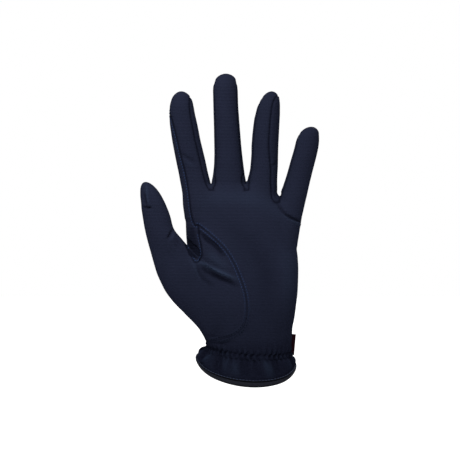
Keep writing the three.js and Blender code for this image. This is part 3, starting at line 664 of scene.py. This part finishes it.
def clipped(points, triangles, value):
    """The part of a mesh where a value is above zero, cut cleanly along zero."""
    keep = value > 0
    kept = keep[triangles].sum(axis=1)
    whole = triangles[kept == 3]
    new_points, made, faces = [], {}, []

    def crossing(a, b):
        key, place = crossing_of(points, value, a, b)
        if key not in made:
            made[key] = len(points) + len(new_points)
            new_points.append(place)
        return made[key]

    for triangle in triangles[(kept == 1) | (kept == 2)]:
        inside = [bool(keep[i]) for i in triangle]
        turn = inside.index(True) if sum(inside) == 1 else (inside.index(False) + 1) % 3
        a, b, c = (int(triangle[(turn + i) % 3]) for i in range(3))
        if sum(inside) == 1:
            faces.append((a, crossing(a, b), crossing(a, c)))
        else:
            faces.append((a, b, crossing(b, c)))
            faces.append((a, crossing(b, c), crossing(c, a)))
    if new_points:
        points = np.vstack([points, new_points])
        triangles = np.vstack([whole, np.array(faces)])
    else:
        triangles = whole
    return used_only(points, triangles)


def biggest_piece(points, triangles):
    """Drops crumbs that a cut leaves: the largest connected piece stays."""
    label = np.arange(len(points))
    while True:
        low = label[triangles].min(axis=1)
        new = label.copy()
        for k in range(3):
            np.minimum.at(new, triangles[:, k], low)
        new = new[new]
        if (new == label).all():
            break
        label = new
    names, sizes = np.unique(label[triangles[:, 0]], return_counts=True)
    return used_only(points, triangles[label[triangles[:, 0]] == names[sizes.argmax()]])


fold_lines = [(height, wide, curve_through(line)) for _, height, wide, line in FOLDS]


def in_front(normals):
    """1 where the leather faces the front, fading to 0 where it faces sideways."""
    return smooth_step(0.05, 0.45, -normals[:, 1])


def relief(points, normals, seam):
    """How far each point of the leather stands out from the plain glove."""
    x, y, z = points.T
    front = in_front(normals)
    out = np.zeros(len(points))
    for height, wide, line in fold_lines:
        gap, share = along_line(line, x, z)
        ends = np.sin(np.pi * np.clip(share, 0.04, 0.96)) ** 0.5
        beyond = np.where((share <= 0) | (share >= 1), 0.6, 1)
        out += height * ends * beyond * np.exp(-(gap / wide) ** 2) * front
    for _, deep, fade, outline in HOLLOWS:
        out -= deep * smooth_step(-fade, 2 * fade, inside_outline(np.array(outline), x, z)) * front
    to_band, share = along_line(thumb_seam, x, z)
    band = front * smooth_step(0, 0.08, share)
    out += BAND_RAISE * (1 - smooth_step(BAND_HALF - 0.5, BAND_HALF + 0.4, to_band)) * band
    at = cuff_place(x, y, np.minimum(z, PALM_BASE))
    on_cuff = z < PALM_BASE
    turn = turn_of(x, y)
    c, s = around(x, y)
    above = (z - gather_height(c, s) + SHIRRING_DROP) / SHIRRING_SPACING
    wander = 0.7 * np.sin(3 * turn + 1) + 0.5 * np.sin(7 * turn)
    shift = np.pi * (smooth_step(-0.2, 0.2, above) - smooth_step(0.8, 1.2, above))
    pucker = np.cos(PUCKERS * turn + wander + shift) * (0.7 + 0.3 * np.sin(9 * turn + 2 + 0.8 * above))
    out += on_cuff * PUCKER_DEPTH * column(CUFF_ROWS, "pucker", at) * pucker
    for row in (0, 1):
        out -= on_cuff * SHIRRING_PINCH * np.exp(-((above - row) / SHIRRING_WIDTH) ** 2)
    lean = 1.6 * at
    skirt = np.cos(11 * turn + 2 * np.sin(2 * turn) + lean)
    skirt += 0.6 * np.cos(19 * turn + 0.7 + np.sin(3 * turn) + lean)
    out += on_cuff * SKIRT_FOLD * column(CUFF_ROWS, "fold", at) * skirt * smooth_step(0.05, 0.5, at)
    roll = SEAM_ROLL * np.exp(-(seam / SEAM_ROLL_WIDTH) ** 2)
    return out - roll * (1 - 0.75 * band * (to_band < BAND_HALF))


# Painted shade: how dark a seam is and over what distance, and how dark a sunk fold is for each millimetre
# and at most
SEAM_SHADE, SEAM_SHADE_WIDTH = 0.55, 0.6
SUNK_SHADE, SUNK_SHADE_MOST = 0.3, 0.75
# How dark the painted shade on the inside of the glove is
INNER_SHADE = 0.6
# Painted shade towards the wrist: how dark the leather is below the first height, fading out to the second
WRIST_SHADES = ((0.4, 15, 110), (0.24, 24, 38))
# How dark the fingers are, and the heights between which that begins
FINGER_SHADE = (0.1, 140, 170)
# Painted highlight: how much lighter a fold is for each millimetre, on the cuff and above it, and at most
CUFF_HIGHLIGHT, HAND_HIGHLIGHT, HIGHLIGHT_MOST = 0.4, 0.2, 0.85
HIGHLIGHT_HEIGHTS = (22, 40)


def painted_shade_of(points, normals, seam, height):
    """How dark the leather is painted: painted shade in seams, folds and hollows and towards the wrist, and
    a little darker on the fingers.
    """
    x, y, z = points.T
    front = in_front(normals)
    lit = np.ones(len(points))
    for dark, _, fade, outline in HOLLOWS:
        lit *= 1 - dark * smooth_step(-fade, fade, inside_outline(np.array(outline), x, z)) * front
    grooves = SEAM_SHADE * np.exp(-(seam / SEAM_SHADE_WIDTH) ** 2)
    grooves += np.clip(-height * SUNK_SHADE, 0, SUNK_SHADE_MOST)
    wrist = sum(dark * (1 - smooth_step(low, high, z)) for dark, low, high in WRIST_SHADES)
    fingers = FINGER_SHADE[0] * smooth_step(*FINGER_SHADE[1:], z)
    return np.clip(1 - lit * (1 - np.clip(grooves, 0, 1)) * (1 - wrist) * (1 - fingers), 0, 1)


def painted_highlights_of(points, height):
    """Painted highlight: how much lighter the leather is where a fold stands out, most of all on the cuff.
    """
    share = smooth_step(*HIGHLIGHT_HEIGHTS, points[:, 2])
    return np.clip(height * mix(CUFF_HIGHLIGHT, HAND_HIGHLIGHT, share), 0, HIGHLIGHT_MOST)


def smooth_noise(points, size, seed, waves=6):
    """A soft random value between -1 and 1 that changes over a size."""
    generator = np.random.default_rng(seed)
    value = np.zeros(len(points))
    for _ in range(waves):
        way = generator.normal(size=3)
        way /= np.linalg.norm(way)
        finer = generator.uniform(0.7, 1.4)
        phase = generator.uniform(0, 6.3)
        value += np.sin(points @ way * (2 * np.pi / size) * finer + phase)
    return value / waves


def borders(triangles):
    """Edges that belong to one triangle, each in the direction of its triangle."""
    edges = np.concatenate([triangles[:, [0, 1]], triangles[:, [1, 2]], triangles[:, [2, 0]]])
    key = np.sort(edges, axis=1)
    _, first, counts = np.unique(key, axis=0, return_index=True, return_counts=True)
    return edges[first[counts == 1]]


def shell(outer, inner, triangles):
    """A closed piece of leather between an outer and an inner skin."""
    n = len(outer)
    edge = borders(triangles)
    rim = np.concatenate([
        np.stack([edge[:, 1], edge[:, 0], edge[:, 0] + n], axis=1),
        np.stack([edge[:, 1], edge[:, 0] + n, edge[:, 1] + n], axis=1),
    ])
    return np.vstack([outer, inner]), np.concatenate([triangles, triangles[:, ::-1] + n, rim])


def make_piece(name, points, faces, material, smooth=True):
    """A Blender object from points in millimetres."""
    mesh = bpy.data.meshes.new(name)
    corners = [tuple(p) for p in np.asarray(points) * MM]
    mesh.from_pydata(corners, [], [tuple(int(i) for i in face) for face in faces])
    mesh.update()
    if smooth:
        mesh.shade_smooth()
        mesh.set_sharp_from_angle(angle=math.radians(SHARP_ANGLE))
    mesh.materials.append(material)
    piece = bpy.data.objects.new(name, mesh)
    bpy.context.scene.collection.objects.link(piece)
    return piece


def sewn(piece, slot, *nodes):
    """Hangs a piece on the root body and hides the solids that it stands for; slot, its finish, is not used.
    """
    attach(piece, "root")
    if nodes:
        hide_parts(*nodes)


class Nodes:
    """Short calls for building a material's nodes."""

    def __init__(self, name):
        self.material = bpy.data.materials.new(name)
        self.material.use_nodes = True
        self.tree = self.material.node_tree
        self.shader = self.tree.nodes["Principled BSDF"]

    def add(self, kind, inputs=None, **settings):
        node = self.tree.nodes.new(kind)
        for key, value in settings.items():
            setattr(node, key, value)
        for key, value in (inputs or {}).items():
            self.set(node, key, value)
        return node

    def set(self, node, key, value):
        if isinstance(value, bpy.types.NodeSocket):
            self.tree.links.new(value, node.inputs[key])
        else:
            node.inputs[key].default_value = value

    def blend(self, share, low, high):
        node = self.add("ShaderNodeMix", data_type="RGBA")
        self.set(node, 0, share)
        self.set(node, 6, low)
        self.set(node, 7, high)
        return node.outputs[2]

    def maths(self, operation, a, b):
        node = self.add("ShaderNodeMath", operation=operation)
        self.set(node, 0, a)
        self.set(node, 1, b)
        return node.outputs[0]

    def place(self):
        return self.add("ShaderNodeTexCoord").outputs["Object"]

    def wave(self, direction, **inputs):
        node = self.add("ShaderNodeTexWave", inputs, wave_type="BANDS", bands_direction=direction)
        return node.outputs["Fac"]

    def finish(self, shade, height, strength, distance, roughness, shine=0.0):
        """Sets the colour, relief, roughness and gloss of the surface."""
        bump = self.add("ShaderNodeBump", {"Strength": strength, "Distance": distance, "Height": height})
        self.set(self.shader, "Base Color", shade)
        self.set(self.shader, "Normal", bump.outputs["Normal"])
        self.set(self.shader, "Roughness", roughness)
        self.set(self.shader, "Specular IOR Level", shine)
        return self.material


def colour(red, green, blue):
    """A colour from its 0 to 255 screen values."""
    shares = (v / 255 for v in (red, green, blue))
    return tuple(v / 12.92 if v < 0.0404 else ((v + 0.055) / 1.055) ** 2.4 for v in shares) + (1,)


def leather_material(name, base, light, dark, highlight_colour, roughness, grain, rib, shine=0.0):
    """Soft synthetic leather: fine ribs across the hand, pores, slow changes of tone, and the painted
    highlight and painted shade stored on its points.
    """
    n = Nodes(name)
    place = n.place()
    slow = n.add("ShaderNodeTexNoise", {
        "Vector": place, "Scale": 28.0, "Detail": 3.0, "Roughness": 0.55}).outputs["Fac"]
    fine = n.add("ShaderNodeTexNoise", {
        "Vector": place, "Scale": 900.0, "Detail": 4.0, "Roughness": 0.65}).outputs["Fac"]
    pores = n.add("ShaderNodeTexVoronoi", {"Vector": place, "Scale": 1500.0}).outputs["Distance"]
    ribs = n.wave("Z", Vector=place, Scale=300.0, Distortion=1.4, Detail=2.0)
    shade = n.blend(slow, base, light)
    # Painted highlight where folds stand out, then painted shade where the points are marked dark
    for painted, tint in (("painted_highlight", highlight_colour), ("edge", dark)):
        shade = n.blend(n.add("ShaderNodeAttribute", attribute_name=painted).outputs["Fac"], shade, tint)
    speckle = n.add("ShaderNodeMapRange", {
        "Value": fine, "From Min": 0.35, "From Max": 0.7, "To Min": 0.0, "To Max": 0.3}).outputs["Result"]
    height = n.maths("MULTIPLY", ribs, rib)
    height = n.maths("ADD", height, n.maths("MULTIPLY", fine, grain))
    height = n.maths("ADD", height, n.maths("MULTIPLY", pores, grain * 0.5))
    rough = n.add("ShaderNodeMapRange", {
        "Value": slow, "To Min": roughness - 0.06, "To Max": roughness + 0.06}).outputs["Result"]
    return n.finish(n.blend(speckle, shade, light), height, 0.6, 0.0003, rough, shine)


def woven_material(name, base, light, scale):
    """A small woven band."""
    n = Nodes(name)
    place = n.place()
    warp, weft = (n.wave(direction, Vector=place, Scale=scale) for direction in ("Z", "X"))
    weave = n.maths("MULTIPLY", warp, weft)
    return n.finish(n.blend(weave, base, light), weave, 0.5, 0.0002, 0.8)


def thread_material(name, base, light, shaded_below):
    """Twisted sewing thread, darker below a height as painted shade."""
    n = Nodes(name)
    place = n.place()
    height = n.add("ShaderNodeSeparateXYZ", {"Vector": place}).outputs["Z"]
    unshaded = n.add("ShaderNodeMapRange", {
        "Value": height, "From Min": shaded_below, "From Max": shaded_below + 0.03}).outputs["Result"]
    twist = n.wave("DIAGONAL", Vector=place, Scale=900.0)
    bright = n.maths("MULTIPLY", unshaded, n.maths("ADD", 0.6, n.maths("MULTIPLY", twist, 0.4)))
    return n.finish(n.blend(bright, base, light), twist, 0.4, 0.0001, 0.6)


# Each leather: its base and lighter tone, the colour of its painted shade and of its painted highlight
leather = leather_material(
    "leather", colour(13, 15.3, 24.2), colour(17, 19.2, 30), colour(1, 1, 3), colour(28, 36, 50),
    roughness=0.7, grain=0.6, rib=1.2)
binding_leather = leather_material(
    "binding_leather", colour(12, 13, 17), colour(16, 17, 22), colour(1, 1, 2), colour(20, 21, 26),
    roughness=0.42, grain=0.3, rib=0.1, shine=0.01)
label_cloth = woven_material("label_cloth", colour(16, 6, 10), colour(27, 10, 16), 900.0)
# The sewing thread gets painted shade below 45 mm; the hem's thread is never shaded
thread = thread_material("sewing_thread", colour(5, 7, 13), colour(24, 34, 56), 0.045)
hem_thread = thread_material("hem_thread", colour(17, 20, 29), colour(27, 31, 43), -0.1)


def contours(points, triangles, value):
    """Lines over a mesh where a value is zero."""
    links = {}
    above = value > 0
    count = above[triangles].sum(axis=1)
    place = {}
    for triangle in triangles[(count == 1) | (count == 2)]:
        ends = []
        for a, b in ((0, 1), (1, 2), (2, 0)):
            i, j = int(triangle[a]), int(triangle[b])
            if above[i] != above[j]:
                key, crossed = crossing_of(points, value, i, j)
                place[key] = (crossed, i)
                ends.append(key)
        links.setdefault(ends[0], []).append(ends[1])
        links.setdefault(ends[1], []).append(ends[0])
    lines, seen = [], set()
    starts = sorted(links, key=lambda key: (len(links[key]), key))
    for start in starts:
        if start in seen:
            continue
        line, here = [start], start
        seen.add(start)
        while True:
            following = [k for k in links[here] if k not in seen]
            if not following:
                break
            here = following[0]
            seen.add(here)
            line.append(here)
        if len(line) > 6:
            lines.append((np.array([place[k][0] for k in line]), np.array([place[k][1] for k in line])))
    return lines


def tube_faces(rings, per, closed=False):
    """Quads between the rings of a tube, which has so many points in each ring."""
    faces = []
    for ring in range(rings if closed else rings - 1):
        near, far = ring * per, (ring + 1) % rings * per
        for k in range(per):
            after = (k + 1) % per
            faces.append((near + k, near + after, far + after, far + k))
    return faces


def tube_ends(rings, per):
    return [tuple(range(per))[::-1], tuple(range((rings - 1) * per, rings * per))]


# Each ring of a stitch: share of the length from its middle, and share of the thread's radius
STITCH_SIDES = 6
STITCH_RINGS = ((-0.5, 0.35), (-0.36, 0.85), (0, 1.0), (0.36, 0.85), (0.5, 0.35))


def stitch_mesh(middles, ways, normals, length, radius):
    """Many small stitches as one mesh."""
    ways = unit(ways)
    normals = unit(normals - (normals * ways).sum(axis=1, keepdims=True) * ways)
    sides = np.cross(ways, normals)
    turns = 2 * np.pi * np.arange(STITCH_SIDES) / STITCH_SIDES
    points = []
    for along, thick in STITCH_RINGS:
        sunk = radius * (0.25 - 1.4 * (2 * along) ** 4)
        for turn in turns:
            up, aside = radius * thick * math.sin(turn), radius * thick * math.cos(turn)
            points.append(middles + ways * (along * length) + normals * (sunk + up) + sides * aside)
    points = np.stack(points, axis=1)
    rings = len(STITCH_RINGS)
    faces = tube_faces(rings, STITCH_SIDES) + tube_ends(rings, STITCH_SIDES)
    per = points.shape[1]
    all_faces = [tuple(i + n * per for i in face) for n in range(len(points)) for face in faces]
    return points.reshape(-1, 3), all_faces


def row_of_stitches(line, normals, pitch):
    """Middles, directions and normals of stitches set along a line at a pitch."""
    smooth = line.copy()
    for _ in range(4):
        smooth[1:-1] = (smooth[:-2] + 2 * smooth[1:-1] + smooth[2:]) / 4
    length = lengths_of(smooth)
    count = int(length[-1] // pitch)
    if count < 2:
        return None
    places = (np.arange(count) + 0.5) * length[-1] / count
    near = pitch * 0.4

    def along(values, where):
        return np.stack([np.interp(where, length, values[:, k]) for k in range(3)], axis=1)

    ways = along(smooth, places + near) - along(smooth, places - near)
    return along(smooth, places), ways, along(normals, places)


class Sewing:
    """Gathers stitches and makes them one piece."""

    def __init__(self):
        self.rows = []

    def add(self, line, normals, pitch=STITCH_PITCH, keep=None):
        row = row_of_stitches(line, normals, pitch)
        if row is None:
            return
        if keep is not None:
            chosen = keep(row[0])
            row = tuple(part[chosen] for part in row)
        if len(row[0]):
            self.rows.append(row)

    def make(self, name, material, length=STITCH_LENGTH, radius=THREAD):
        middles, ways, normals = (np.vstack([row[i] for row in self.rows]) for i in range(3))
        piece = make_piece(name, *stitch_mesh(middles, ways, normals, length, radius), material)
        sewn(piece, "thread")


def paint(piece, name, values):
    """Stores a value for each point: "edge" darkens the material there with painted shade, and the highlight
    value makes it lighter as a painted highlight.
    """
    layer = piece.data.attributes.new(name, "FLOAT", "POINT")
    layer.data.foreach_set("value", np.asarray(values, np.float32))


def near_lines(points, *lines):
    """Distance of each point, seen from the palm, from the nearest of some lines."""
    return np.min([along_line(line, points[:, 0], points[:, 2])[0] for line in lines], axis=0)


low = [c / MM - BOX_MARGIN for c in cad_box[0]]
high = [c / MM + BOX_MARGIN for c in cad_box[1]]
skin, quads = surface_net(glove_field, low, high, GRID)
skin = settle(skin)
diagonal = [np.linalg.norm(skin[quads[:, a]] - skin[quads[:, b]], axis=1) for a, b in ((0, 2), (1, 3))]
short = (diagonal[0] <= diagonal[1])[:, None]
triangles = np.concatenate([
    np.where(short, quads[:, [0, 1, 2]], quads[:, [0, 1, 3]]),
    np.where(short, quads[:, [0, 2, 3]], quads[:, [1, 2, 3]]),
])


def above_hem(points):
    x, y, z = points.T
    return z - hem_height(*around(x, y))


skin, triangles = clipped(skin, triangles, above_hem(skin))
skin, triangles = biggest_piece(skin, triangles)

def sew(sewing, mesh, normals, value, front, *seams):
    """Sews along the lines where a value is zero, near some seams and in front of a depth."""
    for line, at in contours(*mesh, value):
        sewing.add(
            line, normals[at], keep=lambda p: (near_lines(p, *seams) < STITCH_NEAR) & (p[:, 1] < front))


seam_stitches = Sewing()
band_stitches = Sewing()
for name in ("palm_panel", "thumb_panel", "back_panel", *STRIPS):
    points, faces = clipped(skin, triangles, panels(skin)[name] - SEAM_GAP / 2)
    points, faces = biggest_piece(points, faces)
    inside = panels(points)[name]
    normals = unit(slope_of(glove_field, points))
    height = relief(points, normals, inside)
    waves = smooth_noise(points, WAVE_SIZE, WAVE_SEED)
    height = height + WAVE_HEIGHT * waves * smooth_step(0, 4, inside)
    outer = points + normals * height[:, None]
    inner = points - normals * LEATHER
    piece = make_piece(name + "_leather", *shell(outer, inner, faces), leather)
    # Painted shade in seams, folds, hollows and towards the wrist, and painted shade all over the inside
    edge = painted_shade_of(points, normals, inside, height)
    paint(piece, "edge", np.concatenate([edge, np.full(len(edge), INNER_SHADE)]))
    # Painted highlight on the crests of the folds, and none on the inside
    highlights = painted_highlights_of(points, height)
    paint(piece, "painted_highlight", np.concatenate([highlights, np.zeros(len(highlights))]))
    sewn(piece, "leather", name)
    mesh = (outer, faces)
    if name in ("palm_panel", "thumb_panel"):
        sew(band_stitches, mesh, normals, inside - BAND_STITCH, BAND_FRONT, thumb_seam)
    if name == "back_panel":
        sew(seam_stitches, mesh, normals, inside - INDEX_STITCH, 0, index_seam, thumb_crotch)

band_stitches.make("double_stitching", thread)
seam_stitches.make("index_stitching", thread, length=INDEX_STITCH_LENGTH)


# The binding: a folded strip round the hem, with a row of stitches in a groove. Each row of its outer face:
# share of the height, share of the full thickness, millimetres beyond that, and whether the waves move it.
BINDING_SIDES = 240
BINDING_TURNS = 6
BINDING_EASE = BINDING_GAP * 0.6
BINDING_FACE = (
    (0.96, 0.75, 0, 0), (0.84, 0.8, 0, 1), (0.75, 0.4, 0, 0), (0.66, 0.4, 0, 0), (0.58, 1, 0.12, 1),
    (0.2, 1, 0.15, 1),
)


def hem_point(turn, at, out):
    """A point of the cuff's wall near the hem, moved outwards."""
    c, s = math.cos(turn), math.sin(turn)
    hem, gather = float(hem_height(c, s)), float(gather_height(c, s))
    flare = float(column(CUFF_ROWS, "flare", np.array(at)))
    left, right = (mix(w, HEM_WIDTH / 2, flare) + out for w in (WRIST_LEFT, WRIST_RIGHT))
    deep = mix(WRIST_DEPTH / 2, HEM_DEPTH / 2, flare) + out
    return np.array([(right - left) / 2 + (left + right) / 2 * c, deep * s, mix(hem, gather, at)])


def binding_section(turn):
    """The folded section at one place round the hem, from its outer top edge to its inner one."""
    rise = BINDING_HEIGHT / (GATHER_HEIGHT - HEM_SIDE + HEM_DROP / 2)
    wave = 0.05 * math.sin(23 * turn) + 0.03 * math.sin(41 * turn + 1)
    full = BINDING_GAP + BINDING_THICKNESS
    section = [hem_point(turn, rise, BINDING_EASE)]
    for up, out, beyond, wavy in BINDING_FACE:
        section.append(hem_point(turn, rise * up, full * out + beyond + wave * wavy))
    middle = hem_point(turn, 0, -LEATHER / 2)
    half = LEATHER / 2 + full
    for k in range(BINDING_TURNS + 1):
        a = math.pi * k / BINDING_TURNS
        outwards = hem_point(turn, 0, -LEATHER / 2 + half * math.cos(a))
        section.append(np.array([outwards[0], outwards[1], middle[2] - full * math.sin(a)]))
    for share, out in ((0.5, full), (1, full), (1, BINDING_EASE), (0, BINDING_EASE)):
        section.append(hem_point(turn, rise * share, -LEATHER - out))
    section.append(hem_point(turn, 0, BINDING_EASE))
    return section


sections = [binding_section(2 * math.pi * i / BINDING_SIDES) for i in range(BINDING_SIDES)]
per = len(sections[0])
binding = make_piece(
    "hem_binding_leather", np.array(sections).reshape(-1, 3), tube_faces(BINDING_SIDES, per, closed=True),
    binding_leather)
sewn(binding, "binding", "hem_binding")

# Painted shade: the groove under the stitches and everything under the hem are dark.
BINDING_SHADES = (0.2, 0.2, 0.6, 1, 1, 0, 0.1, 0.5)
paint(binding, "edge", (BINDING_SHADES + (1,) * (per - len(BINDING_SHADES))) * BINDING_SIDES)

hem_line = np.array([section[1] for section in sections + sections[:1]])
hem_stitches = Sewing()
hem_stitches.add(hem_line, unit(hem_line * (1, 1, 0)), pitch=HEM_STITCH_PITCH)
hem_stitches.make("hem_stitching", hem_thread, length=HEM_STITCH_LENGTH, radius=HEM_THREAD)


# The label tab: a folded woven loop sewn into the side seam, without any writing.
def tab_piece():
    rows, turns = 14, 10
    wrist = WRIST_RIGHT - LEATHER
    reach = LEATHER + TAB_REACH
    tilt = math.radians(TAB_TILT)
    points = []
    for i in range(rows + 1):
        t = i / rows
        up = TAB_LENGTH * (t - 0.5)
        bow = TAB_BOW * math.sin(math.pi * t)
        thick = TAB_THICKNESS / 2 * (1 - 0.2 * abs(2 * t - 1) ** 4)
        outline = [(0, -thick * 0.7), (reach * 0.5, -thick * 0.8)]
        for k in range(turns + 1):
            a = -math.pi / 2 + math.pi * k / turns
            outline.append((reach - thick + thick * math.cos(a), thick * math.sin(a)))
        outline += [(reach * 0.5, thick * 0.8), (0, thick * 0.7)]
        for x, y in outline:
            across = x - reach / 2
            points.append((
                wrist + reach / 2 + across * math.cos(tilt) + up * math.sin(tilt),
                y + bow,
                TAB_HEIGHT + TAB_LENGTH / 2 + up * math.cos(tilt) - across * math.sin(tilt),
            ))
    per = len(points) // (rows + 1)
    faces = tube_ends(rows + 1, per) + tube_faces(rows + 1, per)
    return make_piece("label_tab_cloth", points, faces, label_cloth)


sewn(tab_piece(), "label", "label_tab")


# Stage, light and camera
FLOOR_DROP = 60
FLOOR_SIZE = 6000
STUDIO_GLOW = 1
floor_paint = Nodes("floor_paint")
floor_paint.set(floor_paint.shader, "Base Color", (0.93, 0.93, 0.93, 1))
floor_paint.set(floor_paint.shader, "Roughness", 0.9)
corners = [(x * FLOOR_SIZE, y * FLOOR_SIZE, -FLOOR_DROP) for x, y in ((-1, -1), (1, -1), (1, 1), (-1, 1))]
floor = make_piece("floor", corners, [(0, 1, 2, 3)], floor_paint.material, smooth=False)

world = bpy.data.worlds.new("studio")
bpy.context.scene.world = world
world.use_nodes = True
glow = world.node_tree.nodes["Background"]
glow.inputs["Color"].default_value = (1, 1, 1, 1)
glow.inputs["Strength"].default_value = STUDIO_GLOW


MIDDLE_HEIGHT = (cad_box[0][2] + cad_box[1][2]) / 2 / MM


def lamp(kind, name, place, power, **settings):
    """A lamp at a place in millimetres, turned to the middle of the glove."""
    data = bpy.data.lights.new(name, kind)
    data.energy = power
    for key, value in settings.items():
        setattr(data, key, value)
    light = bpy.data.objects.new(name, data)
    bpy.context.scene.collection.objects.link(light)
    light.location = Vector(place) * MM
    way = Vector((0, 0, MIDDLE_HEIGHT)) * MM - light.location
    light.rotation_euler = way.to_track_quat("-Z", "Y").to_euler()


lamp("SUN", "top", (-60, -200, 900), 1.6, angle=math.radians(60))
lamp("AREA", "key", (-120, -300, 430), 5, size=160 * MM)
lamp("AREA", "back", (300, 420, 420), 7, size=200 * MM)

# The photograph shows 0.74 mm a pixel over 460 pixels. The frame's origin lies at pixel (246, 386) of it.
PIXEL = 0.74
PHOTO = 460
ORIGIN_PIXEL = (246, 386)
CAMERA_DISTANCE = 2400
SENSOR_WIDTH = 36
camera_data = bpy.data.cameras.new("camera")
camera = bpy.data.objects.new("camera", camera_data)
bpy.context.scene.collection.objects.link(camera)
bpy.context.scene.camera = camera
camera_data.sensor_width = SENSOR_WIDTH
camera_data.lens = SENSOR_WIDTH * CAMERA_DISTANCE / (PHOTO * PIXEL)
camera_data.clip_end = 50
camera.location = Vector((
    (PHOTO / 2 - ORIGIN_PIXEL[0]) * PIXEL, -CAMERA_DISTANCE, (ORIGIN_PIXEL[1] - PHOTO / 2) * PIXEL)) * MM
camera.rotation_euler = (math.radians(90), 0, 0)

bpy.context.scene.view_settings.view_transform = "Standard"
